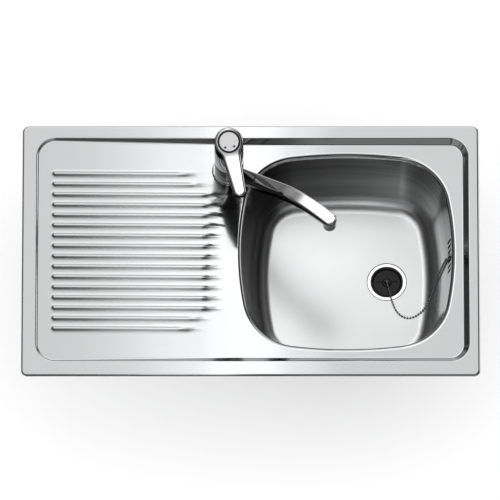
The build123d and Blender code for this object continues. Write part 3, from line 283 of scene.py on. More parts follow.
def deckSurface():
    # the deck's skin: drainer block, band round it, tray wall and rim, landing and the bowl's rolled lip
    seamX, blockLeft, ribsFrom, taperFrom, taperTo, blockHalf = -28.5, -390.0, -381.0, -98.0, -34.0, 170.0
    corner, lean, rimTop, footRoll, topRoll = picked(sheet, "trayCorner", "trayLean", "rimTop", "footRoll", "topRoll")
    straightLeft = trayLeft + corner
    cornerX = joined(np.linspace(blockLeft, ribsFrom, 5)[:-1], np.linspace(ribsFrom, straightLeft, 14))
    columns = joined(cornerX, np.linspace(straightLeft, taperFrom, 14)[1:],
                     np.linspace(taperFrom, taperTo, 55)[1:], [-31.0, seamX])
    rowsY = np.linspace(-blockHalf, blockHalf, 199)
    path, out, leftCount = trayPath(cornerX, columns[len(cornerX):], rowsY, seamX)

    # rings of the tray's wall and of the rim, from the foot of the wall outwards
    steep = pi / 2 - lean
    guess, pastRibs = path, np.full(len(path), 1e4)
    for _ in range(3):
        depth = rimTop - trayHeight(guess[:, 0], pastRibs)
        inset = depth * tan(lean) + footRoll * tan(steep / 2)
        guess = path - inset[:, None] * out
    rings = rolledRings(path, out, inset, rimTop - depth, footRoll, np.linspace(0, steep, 6))
    rings += rolledRings(path, out, -topRoll * tan(steep / 2), rimTop, -topRoll, np.linspace(steep, 0, 6))
    rim, roll = picked(sheet, "rimCorner", "edgeRoll")
    halfX, halfY = sheet["length"] / 2 - rim, sheet["width"] / 2 - rim
    outer = rows(np.interp(path[:, 0], [straightLeft, trayRight - corner], [-halfX, halfX]),
                 np.interp(path[:, 1], [trayFront + corner, trayBack - corner], [-halfY, halfY])) + rim * out
    rings += rolledRings(outer, out, roll, rimTop, -roll, np.linspace(0, -pi / 2, 9))
    rings.append(edgeRing(outer, out, 0.0, sheet["edgeGap"], -pi / 2))
    foot = rings[0][0][:, :2]
    points, normals, faces = [], [], []

    def add(gridPoints, gridNormals, closed=False, flip=False):
        quads = gridFaces(*gridPoints.shape[:2], closed, sum(len(p) for p in points))
        points.append(gridPoints.reshape(-1, 3))
        normals.append(gridNormals.reshape(-1, 3))
        faces.append(quads[:, ::-1] if flip else quads)

    add(*map(np.stack, zip(*rings)), closed=True, flip=True)

    # drainer block and the band between it and the wall's foot
    add(*trayGrid(*np.meshgrid(columns, rowsY)))
    edge = joined(rows(columns[::-1], blockHalf), rows(blockLeft, rowsY[::-1][1:-1]), rows(columns, -blockHalf))
    share = np.linspace(0, 1, 11)[:, None, None]
    band = edge[None] * (1 - share) + foot[None, :leftCount] * share
    add(*trayGrid(band[..., 0], band[..., 1]), flip=True)

    # landing round the bowl and the rolled lip
    loop = joined(foot[leftCount - 1:], foot[:1], band[::-1, 0][1:-1], rows(seamX, rowsY[::-1]), band[1:-1, -1])
    spot, outward = outlineAt(np.arctan2(loop[:, 1], loop[:, 0] - bowlSize["x"]))
    share = np.linspace(1, 0, 7)[:, None, None]
    flat = loop[None] * share + spot[None] * (1 - share)
    draft, lip = picked(bowlSize, "draft", "lipRoll")
    rings = [edgeRing(ring, outward, 0.0, landing, 0.0) for ring in flat]
    rings += rolledRings(spot, outward, 0.0, landing, -lip, np.linspace(0, pi / 2 - draft, 12)[1:])
    seam = landing - bowlSize["seam"]
    rings.append(edgeRing(spot, outward, wallInset(seam), seam, pi / 2 - draft))
    add(*map(np.stack, zip(*rings)), closed=True)
    return np.concatenate(points), np.concatenate(normals), np.concatenate(faces)


def bowlSurface():
    # the bowl's skin below the seam: drafted wall with the overflow slots, rolled bottom, floor and the waste's seat
    points, _ = bowlOutline()
    points = points + [bowlSize["x"], 0]
    slotHalf = (slots["each"] + 0.6) * slots["pitch"]
    fine = np.arcsin(np.linspace(-slotHalf, slotHalf, 95) / bowlSize["bowEnds"])
    turnAll = np.linspace(0, 2 * pi, len(points), endpoint=False)
    length = joined([0], np.cumsum(np.hypot(*np.diff(points, axis=0).T)))
    first, last = np.interp([fine[-1], 2 * pi + fine[0]], turnAll, length)
    turn = joined(fine, np.interp(np.linspace(first, last, 400)[1:-1], length, turnAll))
    spot = between(np.mod(turn, 2 * pi), np.append(turnAll, 2 * pi), joined(points, points[:1]))
    outward = around(turn)

    draft, roll = picked(bowlSize, "draft", "bottomRoll")
    slotsEnd, rollZ = -42.0, bowlFloor + roll      # the wall's rings lie closer above slotsEnd
    rollInset = wallInset(rollZ) + roll / cos(draft)
    levels = joined(np.linspace(landing - bowlSize["seam"], slotsEnd, 42), np.linspace(slotsEnd, rollZ - 4, 7)[1:])
    rings = [edgeRing(spot, outward, wallInset(z), z, pi / 2 - draft) for z in levels]
    wallRings = len(rings)
    rings += rolledRings(spot, outward, rollInset, bowlFloor, roll, np.linspace(pi / 2 - draft, 0, 15))
    wasteX, seatRadius, seatDepth, step = picked(waste, "x", "seatRadius", "seatDepth", "step")
    inner = rings[-1][0][:, :2]
    ray = around(np.arctan2(inner[:, 1], inner[:, 0] - wasteX))
    centre = np.broadcast_to([wasteX, 0.0], ray.shape)
    for share in np.linspace(0, 1, 9)[1:]:
        flat = inner * (1 - share) + (ray * seatRadius + centre) * share
        rings.append(edgeRing(flat, ray, 0.0, bowlFloor, 0.0))
    # the seat's side is a smooth step: a half wave between the floor and the seat
    for share in np.linspace(0, 1, 9)[1:]:
        level = bowlFloor - seatDepth * (1 - cos(pi * share)) / 2
        lean = atan(seatDepth * pi * sin(pi * share) / 2 / step)
        rings.append(edgeRing(centre, ray, step * share - seatRadius, level, lean))
    rings.append(edgeRing(centre, ray, -waste["holeRadius"], bowlFloor - seatDepth, 0.0))
    allPoints, allNormals = map(np.stack, zip(*rings))
    faces = gridFaces(len(rings), len(turn), closed=True)

    # slots: points near a slot's outline are drawn onto it, and faces inside it are left out
    flatPoints = allPoints.reshape(-1, 3)
    onPanel = np.zeros(allPoints.shape[:2], bool)
    onPanel[:wallRings, 2:len(fine) - 2] = True
    onPanel = onPanel.ravel()
    along, up = flatPoints[:, 1], (flatPoints[:, 2] - landing + slots["below"]) / cos(draft)
    inside = np.zeros(len(flatPoints), bool)
    moveAlong, moveUp = np.zeros(len(flatPoints)), np.zeros(len(flatPoints))
    half, drawn, cleared = slots["width"] / 2, 0.36, 0.3
    straight = slots["length"] / 2 - half
    for i in [*range(-slots["each"], 0), *range(1, slots["each"] + 1)]:
        dx, dy = along - i * slots["pitch"], up - np.clip(up, -straight, straight)
        distance = np.maximum(np.hypot(dx, dy), 1e-9)
        near = onPanel & (np.abs(distance - half) < drawn)
        moveAlong = np.where(near, dx / distance * (half - distance), moveAlong)
        moveUp = np.where(near, dy / distance * (half - distance), moveUp)
        inside |= onPanel & (distance < half - cleared)
    flatPoints += rows(moveUp * sin(draft), moveAlong, moveUp * cos(draft))
    return flatPoints, allNormals.reshape(-1, 3), faces[~inside[faces].any(axis=1)]


deckSheet = sheetPiece("deckSheet", *deckSurface(), sheet["thickness"])
bowlSheet = sheetPiece("bowlSheet", *bowlSurface(), sheet["thickness"])
for piece, node in ((deckSheet, "deck"), (bowlSheet, "bowl")):
    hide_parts(node)
    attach(piece, "sink")
    print(piece.name, len(piece.data.polygons), "faces")


def addNode(tree, kind, inputs=None, **settings):
    # one shader node with its settings; an input given as another node's socket is linked, any other is set
    made = tree.nodes.new("ShaderNode" + kind)
    for name, value in settings.items():
        setattr(made, name, value)
    for name, value in (inputs or {}).items():
        if isinstance(value, bpy.types.NodeSocket):
            tree.links.new(value, made.inputs[name])
        else:
            made.inputs[name].default_value = value
    return made


def reckon(tree, operation, *values, kind="Math", **settings):
    # the result of one math node
    return addNode(tree, kind, dict(enumerate(values)), operation=operation, **settings).outputs[0]


def scaledColor(tree, color, share):
    return addNode(tree, "VectorMath", {0: color, "Scale": share}, operation="SCALE").outputs[0]


def partTowards(tree, direction, axis):
    # a direction's part along an axis
    return addNode(tree, "VectorMath", {0: direction, 1: axis}, operation="DOT_PRODUCT").outputs["Value"]


def rampBetween(tree, value, start, end, low, high):
    # goes smoothly from low to high while the value goes from start to end
    return addNode(tree, "MapRange", {"Value": value, "From Min": start, "From Max": end, "To Min": low,
                                      "To Max": high}, interpolation_type="SMOOTHSTEP").outputs["Result"]


def noise(tree, place, scale, **inputs):
    return addNode(tree, "TexNoise", {"Vector": place, "Scale": scale, **inputs}).outputs["Fac"]


def finishGroup():
    # shared effect: soft clouds in colour and roughness, and a fine grain, stretched along one axis, as a bump
    tree = bpy.data.node_groups.new("surfaceFinish", "ShaderNodeTree")
    for name in ("Color", "Shade", "Roughness", "Spread", "Cloud Scale", "Grain Scale", "Stretch", "Grain Depth",
                 "Wave Depth", "Streak"):
        kind = {"Color": "Color", "Stretch": "Vector"}.get(name, "Float")
        tree.interface.new_socket(name, in_out="INPUT", socket_type="NodeSocket" + kind)
    for name, kind in (("Color", "Color"), ("Roughness", "Float"), ("Normal", "Vector")):
        tree.interface.new_socket(name, in_out="OUTPUT", socket_type="NodeSocket" + kind)
    given, result = tree.nodes.new("NodeGroupInput").outputs, tree.nodes.new("NodeGroupOutput")
    place = addNode(tree, "TexCoord").outputs["Object"]
    stretched = reckon(tree, "MULTIPLY", place, given["Stretch"], kind="VectorMath")
    cloud = noise(tree, place, given["Cloud Scale"], Detail=3.0, Roughness=0.55)
    grain = noise(tree, stretched, given["Grain Scale"], Detail=4.0, Roughness=0.6)
    # colour times 1 + shade * (cloud - 0.5) + streak * (grain - 0.5)
    shade = reckon(tree, "MULTIPLY_ADD", reckon(tree, "SUBTRACT", cloud, 0.5), given["Shade"], 1.0)
    streaked = reckon(tree, "MULTIPLY_ADD", reckon(tree, "SUBTRACT", grain, 0.5), given["Streak"], shade)
    # roughness plus spread * (cloud + grain - 1)
    about = reckon(tree, "SUBTRACT", reckon(tree, "ADD", cloud, grain), 1.0)
    rough = reckon(tree, "MULTIPLY_ADD", about, given["Spread"], given["Roughness"], use_clamp=True)
    # height in metres: the grain at its depth plus a slow wave at its own depth
    waved = reckon(tree, "MULTIPLY", noise(tree, place, 7.0, Detail=1.0), given["Wave Depth"])
    height = reckon(tree, "MULTIPLY_ADD", grain, given["Grain Depth"], waved)
    bump = addNode(tree, "Bump", {"Strength": 1.0, "Distance": 1.0, "Height": height}).outputs[0]
    for name, value in (("Color", scaledColor(tree, given["Color"], streaked)), ("Roughness", rough), ("Normal", bump)):
        tree.links.new(value, result.inputs[name])
    return tree


surfaceFinish = finishGroup()


def finish(name, color, roughness, metallic=0.0, shade=0.05, spread=0.05, cloud=12.0, grain=900.0,
           stretch=(1, 1, 1), depth=1e-5, wave=0.0, streak=0.0, **sockets):
    # a Principled material fed by the shared finish
    material = bpy.data.materials.new(name)
    material.use_nodes = True
    tree = material.node_tree
    shader = tree.nodes["Principled BSDF"]
    group = addNode(tree, "Group", {
        "Color": (*color, 1.0), "Shade": shade, "Roughness": roughness, "Spread": spread, "Cloud Scale": cloud,
        "Grain Scale": grain, "Stretch": stretch, "Grain Depth": depth, "Wave Depth": wave, "Streak": streak},
        node_tree=surfaceFinish)
    for source, target in (("Color", "Base Color"), ("Roughness", "Roughness"), ("Normal", "Normal")):
        tree.links.new(group.outputs[source], shader.inputs[target])
    for socket, value in {"Metallic": metallic, **sockets}.items():
        shader.inputs[socket.replace("_", " ")].default_value = value
    return material


def metal(name, color, roughness, **values):
    return finish(name, color, roughness, metallic=1.0, **values)


sheetSteel = metal("sheetSteel", (0.64, 0.645, 0.65), 0.18, shade=0.04, spread=0.06, cloud=9.0, grain=420.0,
                   stretch=(0.12, 1, 1), depth=4e-7, wave=1.2e-4)
brightSteel = metal("brightSteel", (0.72, 0.72, 0.72), 0.12, depth=1e-6)
zincSteel = metal("zincSteel", (0.42, 0.43, 0.44), 0.36, shade=0.14, spread=0.12, cloud=60.0, depth=4e-6)
# the bowl's steel is lighter than the sheet's steel: painted light on the bowl's floor
bowlSteel = metal("bowlSteel", (0.86, 0.865, 0.87), 0.13, shade=0.06, spread=0.06, cloud=14.0, grain=60.0,
                  stretch=(0.012, 0.012, 1), depth=3e-4, wave=1.2e-4, streak=1.5)
outerSteel = metal("outerSteel", (0.36, 0.365, 0.37), 0.27, shade=0.08, spread=0.06, cloud=14.0, grain=420.0,
                   stretch=(1, 1, 0.12), depth=4e-7)
# polished steel painted darker than brightSteel: painted shade on the chain, the overflow screw, the chain's anchor and
# the plug's eye
chainSteel = metal("chainSteel", (0.3, 0.3, 0.305), 0.07, depth=1e-6)
# the aerator's chrome painted dark: painted shade
shadedChrome = metal("shadedChrome", (0.1, 0.1, 0.103), 0.12, shade=0.1, spread=0.08, cloud=80.0, depth=2e-6)
chrome = metal("chrome", (0.86, 0.86, 0.87), 0.05, shade=0.01, spread=0.02, cloud=30.0, depth=0.0)
rawBrass = metal("rawBrass", (0.66, 0.49, 0.22), 0.3, shade=0.15, spread=0.1, cloud=60.0, depth=4e-6)
blackRubber = finish("blackRubber", (0.006, 0.006, 0.0065), 0.25, shade=0.25, spread=0.12, cloud=90.0, grain=1500.0,
                     depth=1.2e-5, Specular_IOR_Level=0.25)
foamSeal = finish("foamSeal", (0.05, 0.05, 0.052), 0.9, shade=0.3, grain=1200.0, depth=1.5e-4)
dampingPad = finish("dampingPad", (0.045, 0.045, 0.05), 0.8, shade=0.25, cloud=35.0, grain=260.0, depth=3e-4)
whiteMoulding = finish("whiteMoulding", (0.78, 0.78, 0.77), 0.42, shade=0.04, spread=0.08, cloud=40.0, depth=1.2e-5)
greyMoulding = finish("greyMoulding", (0.3, 0.305, 0.31), 0.45, shade=0.06, spread=0.08, cloud=40.0, depth=1.5e-5)
darkRing = finish("darkRing", (0.012, 0.012, 0.013), 0.35, shade=0.1, cloud=60.0)
indicatorPlastic = finish("indicatorPlastic", (0.7, 0.7, 0.71), 0.28, shade=0.03, spread=0.06, cloud=50.0, depth=4e-6)
hotInlay = finish("hotInlay", (0.1, 0.01, 0.009), 0.35)
coldInlay = finish("coldInlay", (0.008, 0.016, 0.09), 0.35)


def fedBy(material, name):
    # a material's tree, one input of its shader and the socket that feeds it so far
    socket = material.node_tree.nodes["Principled BSDF"].inputs[name]
    return material.node_tree, socket, socket.links[0].from_socket


def roughnessAlong(material, axis, start, end, change):
    # adds a smooth change of roughness between two places along one object axis, in metres
    tree, socket, before = fedBy(material, "Roughness")
    place = addNode(tree, "SeparateXYZ", {0: addNode(tree, "TexCoord").outputs["Object"]}).outputs[axis]
    added = rampBetween(tree, place, start, end, 0.0, change)
    tree.links.new(reckon(tree, "ADD", before, added, use_clamp=True), socket)


def darkerTowards(material, axis, low, high, share, source="Normal"):
    # painted shade: the colour takes a share where the normal's part along an axis is under low, and is whole over
    # high;
    # the source "Object" takes the place in metres instead of the normal
    tree, socket, before = fedBy(material, "Base Color")
    part = partTowards(tree, addNode(tree, "TexCoord").outputs[source], axis)
    tree.links.new(scaledColor(tree, before, rampBetween(tree, part, low, high, share, 1.0)), socket)


def copied(material, name):
    twin = material.copy()
    twin.name = name
    return twin


roughnessAlong(sheetSteel, "X", -0.10, -0.05, -0.09)     # the drainer is duller than the landing
roughnessAlong(bowlSteel, "Z", -0.11, -0.155, 0.17)      # the floor is duller than the walls
hoodMoulding = copied(whiteMoulding, "hoodMoulding")
darkerTowards(hoodMoulding, (0.978, 0, -0.208), -0.6, -0.2, 0.02)    # painted shade inside, behind the slots
# painted shade: chrome whose normal leans away from upright is darker; the spout's and the handle's copies keep it
darkerTowards(chrome, (0, 0, 1), 0.15, 0.75, 0.5)
spoutChrome = copied(chrome, "spoutChrome")
# painted shade on the spout's sides that face front and left
darkerTowards(spoutChrome, (0.6, 0.8, 0), -0.75, -0.3, 0.22)
darkerTowards(spoutChrome, (1, 0, 0), 0.05, 0.1, 0.5, "Object")      # painted shade, darker from the root to the nose
handleChrome = copied(chrome, "handleChrome")
darkerTowards(handleChrome, (0, 0, 1), 0.45, 0.85, 0.07)             # painted shade on the sides and rounded edges
# a grey specular tint darkens the grazing reflections too: more painted shade on the edges
handleChrome.node_tree.nodes["Principled BSDF"].inputs["Specular Tint"].default_value = (0.2, 0.2, 0.2, 1)
# painted shade on the bowl's walls that face right, and on those that face right and towards the front
darkerTowards(bowlSteel, (-0.77, 0.64, 0), -0.8, -0.3, 0.25)
darkerTowards(bowlSteel, (-1, 0, 0), -0.8, -0.35, 0.55)
darkerTowards(bowlSteel, (0, 0, -1), 0.03, 0.09, 0.55, "Object")     # painted shade: the bowl's upper walls are darker

finishes = {
    "stainless": sheetSteel, "polished_steel": brightSteel, "zinc_steel": zincSteel, "chrome_plate": chrome,
    "raw_brass": rawBrass, "black_rubber": blackRubber, "foam_seal": foamSeal, "sound_damping": dampingPad,
    "white_moulding": whiteMoulding, "grey_moulding": greyMoulding, "dark_ring": darkRing,
    "indicator_plastic": indicatorPlastic, "hot_inlay": hotInlay, "cold_inlay": coldInlay}


def dress(piece, material):
    piece.data.materials.clear()
    piece.data.materials.append(material)


for part in frame["record"]["subparts"]:
    if part["node"] in nodes:
        dress(nodes[part["node"]], finishes[part["material_slot"]])
dress(nodes["overflow_head"], hoodMoulding)
# painted shade: these polished steel parts take the darker chain steel
for name in ("overflow_screw", "chain_anchor", "plug_eye"):
    dress(nodes[name], chainSteel)
dress(deckSheet, sheetSteel)
dress(bowlSheet, bowlSteel)
bowlSheet.data.materials.append(outerSteel)
skin = np.zeros(len(bowlSheet.data.polygons), np.int32)
skin[backFaces["bowlSheet"]] = 1
bowlSheet.data.polygons.foreach_set("material_index", skin)
print("finishes made")

# the tap's heights are measured up from the landing, at the tap's axis
tap = {
    "radius": 27.4, "coreRadius": 19.5, "ringLow": 1.5, "ringHigh": 7.5, "collarLow": 8.55, "collarHigh": 58.55,
    "bodyLow": 59.6, "bodyTop": 122.0, "pivot": 128.0, "domeRadius": 23.5, "domeTop": 13.0, "domeWall": 2.0,
    "edge": 0.6, "ringGap": 0.1, "collarGap": 0.05, "mouthRadius": 18.6, "mouthDepth": 6.0}
onAxis = 0.01       # radius at which turned outlines start


def turnedAway(points, azimuth=0.0, x=tapSpot["x"], y=tapSpot["y"], z=landing):
    # points of a local frame turned about its upright axis and set at the tap's foot
    return rows(x + points[..., 0] * cos(azimuth) - points[..., 1] * sin(azimuth),
                y + points[..., 0] * sin(azimuth) + points[..., 1] * cos(azimuth), z + points[..., 2])


def closedPiece(name, grids, sharp=35.0, flat=()):
    # one smooth mesh from closed grids of points, whose rows are loops except in the grids numbered in flat; each
    # grid is turned so that its faces point outwards
    allPoints, allFaces, count = [], [], 0
    for i, grid in enumerate(grids):
        points = grid.reshape(-1, 3)
        points, _, faces = weld(points, points, gridFaces(*grid.shape[:2], i not in flat))
        first, second, third, fourth = (points[faces[:, corner]] for corner in range(4))
        volume = (np.cross(first, second) * third).sum() + (np.cross(first, third) * fourth).sum()
        allPoints.append(points)
        allFaces.append((faces[:, ::-1] if volume < 0 else faces) + count)
        count += len(points)
    piece = makePiece(name, np.concatenate(allPoints), np.concatenate(allFaces))
    piece.data.set_sharp_from_angle(angle=radians(sharp))
    return piece


def roundedProfile(corners, radius, steps=5):
    # closed outline with each corner replaced by an arc of the given radius
    corners = np.array(corners, float)
    before, after = np.roll(corners, 1, axis=0) - corners, np.roll(corners, -1, axis=0) - corners
    into, out = unit(before), unit(after)
    half = np.arccos(np.clip((into * out).sum(axis=1), -1, 1)) / 2
    shorter = np.minimum(np.linalg.norm(before, axis=1), np.linalg.norm(after, axis=1))
    radius = np.minimum(radius, 0.45 * shorter * np.tan(half))
    cut = (radius / np.tan(half))[:, None]
    centre = corners + unit(into + out) * (radius / np.sin(half))[:, None]
    start, finish = corners + into * cut - centre, corners + out * cut - centre
    share = np.linspace(0, 1, steps)[None, :, None]
    arc = unit(start[:, None] * (1 - share) + finish[:, None] * share) * radius[:, None, None] + centre[:, None]
    return arc.reshape(-1, 2)


def ringProfile(inner, outer, low, high, radius):
    # rounded rectangle between two radii and two levels
    return roundedProfile([(inner, low), (outer, low), (outer, high), (inner, high)], radius)


def revolved(profile, count=128, wave=None):
    # closed outline of (radius, height) turned about the upright axis; wave changes the radius with the angle
    turn = np.linspace(0, 2 * pi, count, endpoint=False)
    loop = np.vstack([profile, profile[:1]])
    radius = loop[:, :1] + (wave(loop, turn) if wave else np.zeros((1, count)))
    return rows(radius * np.cos(turn), radius * np.sin(turn), loop[:, 1:])


spoutSize = {
    "azimuth": radians(-38.0), "reach": 238.7, "root": 12.0, "rise": radians(40.0), "bend": 150.0, "level": 131.5,
    "bendEnd": 18.0, "rootWidth": 27.5, "rootHeight": 27.0, "tipWidth": 26.5, "tipHeight": 18.0, "corner": 0.24,
    "bossRadius": 12.3, "bossDrop": 12.0, "bossWall": 2.2, "bossRecess": 3.0, "bossEdge": 0.35}


def sectionHalf(width, height, corner):
    # half of a rounded rectangle from the middle of its top, over the side, to the middle of its bottom
    turn, straight = np.linspace(pi / 2, 0, 9), np.linspace(0, 1, 5)[:-1]
    s = joined(straight * (width / 2 - corner), width / 2 - corner + corner * np.cos(turn))
    t = joined(np.full(4, height / 2), height / 2 - corner + corner * np.sin(turn))
    return joined(s, s[::-1][1:]), joined(t, -t[::-1][1:])


def spoutStations():
    # centre line of the arm: a straight rise, an arc and a level end, with each point's rise angle
    reach, root, rise, bend, level = picked(spoutSize, "reach", "root", "rise", "bend", "level")
    arcEnd = reach - spoutSize["bendEnd"]
    arcStart = arcEnd - bend * sin(rise)
    arcLevel = level - bend * (1 - cos(rise))
    line = np.linspace(root, arcStart, 24)[:-1]
    angle = np.linspace(rise, 0, 30)
    r = joined(line, arcEnd - bend * np.sin(angle), np.linspace(arcEnd, reach, 6)[1:])
    z = joined(arcLevel - (arcStart - line) * tan(rise), level - bend * (1 - np.cos(angle)), np.full(5, level))
    return r, z, joined(np.full(len(line), rise), angle, np.zeros(5))


def addSpout():
    # collar, swept arm, round nose and outlet boss as overlapping closed surfaces
    reach, root, level, rootWidth, rootHeight, tipWidth, tipHeight, corner = picked(
        spoutSize, "reach", "root", "level", "rootWidth", "rootHeight", "tipWidth", "tipHeight", "corner")
    r, z, angle = spoutStations()
    share = (r - root) / (reach - root)
    rings = []
    for i in range(len(r)):
        height = rootHeight + share[i] * (tipHeight - rootHeight)
        s, t = sectionHalf(rootWidth + share[i] * (tipWidth - rootWidth), height, corner * height)
        s, t = joined(s, -s[::-1][1:-1]), joined(t, t[::-1][1:-1])
        rings.append(rows(r[i] - t * sin(angle[i]), s, np.maximum(z[i] + t * cos(angle[i]), tap["collarLow"])))
    ends = [np.broadcast_to(rings[i].mean(axis=0), rings[i].shape) for i in (0, -1)]
    arm = np.stack([ends[0], *rings, ends[1]])
    s, t = sectionHalf(tipWidth, tipHeight, corner * tipHeight)
    turn = np.linspace(pi / 2, -pi / 2, 33)[:, None]
    nose = rows(reach + s * np.cos(turn), s * np.sin(turn), level + t)
    radius, drop, wall, recess, edge = picked(spoutSize, "bossRadius", "bossDrop", "bossWall", "bossRecess", "bossEdge")
    low = level - tipHeight / 2 - drop
    boss = revolved(roundedProfile([(onAxis, level), (radius, level), (radius, low), (radius - wall, low),
                                    (radius - wall, low + recess), (onAxis, low + recess)], edge), 72)
    collar = revolved(ringProfile(tap["coreRadius"] + tap["collarGap"], *picked(
        tap, "radius", "collarLow", "collarHigh", "edge")))
    grids = [arm, joined(nose, nose[:1]), boss + [reach, 0, 0], collar]
    return closedPiece("spoutArm", [turnedAway(grid, spoutSize["azimuth"]) for grid in grids], flat=[1])


aerator = {"radius": 12.15, "low": 101.5, "high": 110.1, "knurls": 18, "knurlDepth": 1.2, "bore": 9.2, "edge": 0.5}


def addAerator():
    # ribbed sleeve under the spout's nose: its radius dips in a cosine of the knurl count
    radius, knurls, depth = picked(aerator, "radius", "knurls", "knurlDepth")

    def dips(loop, turn):
        return (loop[:, :1] > radius - 1) * -depth * (0.5 - 0.5 * np.cos(knurls * turn)) ** 3

    sleeve = revolved(ringProfile(*picked(aerator, "bore", "radius", "low", "high", "edge")), 288, dips)
    return closedPiece("aeratorSleeve", [turnedAway(sleeve + [spoutSize["reach"], 0, 0], spoutSize["azimuth"])], 50.0)


def addTapBody():
    # foot, core and head of the body, turned about the axis
    core, radius, low, bodyLow, top, mouth = picked(
        tap, "coreRadius", "radius", "ringLow", "bodyLow", "bodyTop", "mouthRadius")
    floor = top - tap["mouthDepth"]
    outline = roundedProfile([(onAxis, low), (core, low), (core, bodyLow), (radius, bodyLow), (radius, top),
                              (mouth, top), (mouth, floor), (onAxis, floor)], tap["edge"])
    return closedPiece("tapHead", [turnedAway(revolved(outline))])


def addBaseRing():
    outline = ringProfile(tap["coreRadius"] + tap["ringGap"], *picked(tap, "radius", "ringLow", "ringHigh", "edge"))
    return closedPiece("baseRing", [turnedAway(revolved(outline))])


def addDome():
    # band of a sphere about the pivot
    pivot, radius, wall = picked(tap, "pivot", "domeRadius", "domeWall")
    turn = np.linspace(asin((tap["bodyTop"] - pivot) / radius), asin(tap["domeTop"] / radius), 24)
    outer = rows(radius * np.cos(turn), pivot + radius * np.sin(turn))
    return closedPiece("domeBand", [turnedAway(revolved(np.vstack([outer, outer[::-1] - [wall, 0]])))])


handleSize = {
    "azimuth": radians(-77.8), "radius": 27.3, "top": 156.0, "slant": radians(17.0), "reach": 108.0,
    "leverTop": 147.5, "blend": 40.0, "rootHalf": 19.0, "tipHalf": 12.0, "rootBottom": 132.0, "tipBottom": 139.0,
    "bottomRun": 20.0, "shoulder": 22.0, "edge": 5.0, "lowEdge": 0.5, "skirt": 5.0 / 27.3, "front": 28.8,
    "pocketRadius": 21.4, "pocketDepth": 2.0, "pocketEdge": 0.3, "cavityRadius": 24.4, "mouthEdge": 0.2, "roof": 4.0}


def leverOutline():
    # the handle's plan seen from above: round cap, concave shoulders, tapered lever and round tip
    radius, rootHalf, tipHalf, shoulder = picked(handleSize, "radius", "rootHalf", "tipHalf", "shoulder")
    tipX = handleSize["reach"] - tipHalf
    lean = atan((rootHalf - tipHalf) / tipX)                             # taper of the lever's side
    normal = np.array([sin(lean), cos(lean)])
    away = rootHalf * cos(lean) + shoulder                               # side: point . normal = rootHalf cos(lean)
    along = sqrt((radius + shoulder) ** 2 - away ** 2)
    centre = normal * away + np.array([cos(lean), -sin(lean)]) * along   # shoulder arc's centre
    sideTouch, tipTouch = centre - normal * shoulder, np.array([tipX, 0]) + normal * tipHalf
    tipArc = around(np.linspace(0, pi / 2 - lean, 24)) * tipHalf + [tipX, 0]
    turn = np.linspace(atan2(*(sideTouch - centre)[::-1]), atan2(*-centre[::-1]), 16)
    share = np.linspace(0, 1, 40)[:, None]
    side, arc = tipTouch * (1 - share) + sideTouch * share, centre + shoulder * around(turn)
    cap = radius * around(np.linspace(atan2(*centre[::-1]), pi, 60))
    half = joined(tipArc, side[1:], arc[1:], cap[1:])
    return joined(half, half[::-1][1:-1] * [1, -1])


def handleTop(x):
    # level of the handle's top: the slanted plane, an arc and the level lever
    top, slant, low, blend = picked(handleSize, "top", "slant", "leverTop", "blend")
    meet, cut = (top - low) / tan(slant), blend * tan(slant / 2)
    start, finish = meet - cut * cos(slant), meet + cut
    arc = low + blend - np.sqrt(np.maximum(blend ** 2 - (finish - x) ** 2, 0))
    return np.where(x < start, top - x * tan(slant), np.where(x > finish, low, arc))


def skirtLevel(x):
    # level of the cap's underside
    return tap["pivot"] - x * handleSize["skirt"]


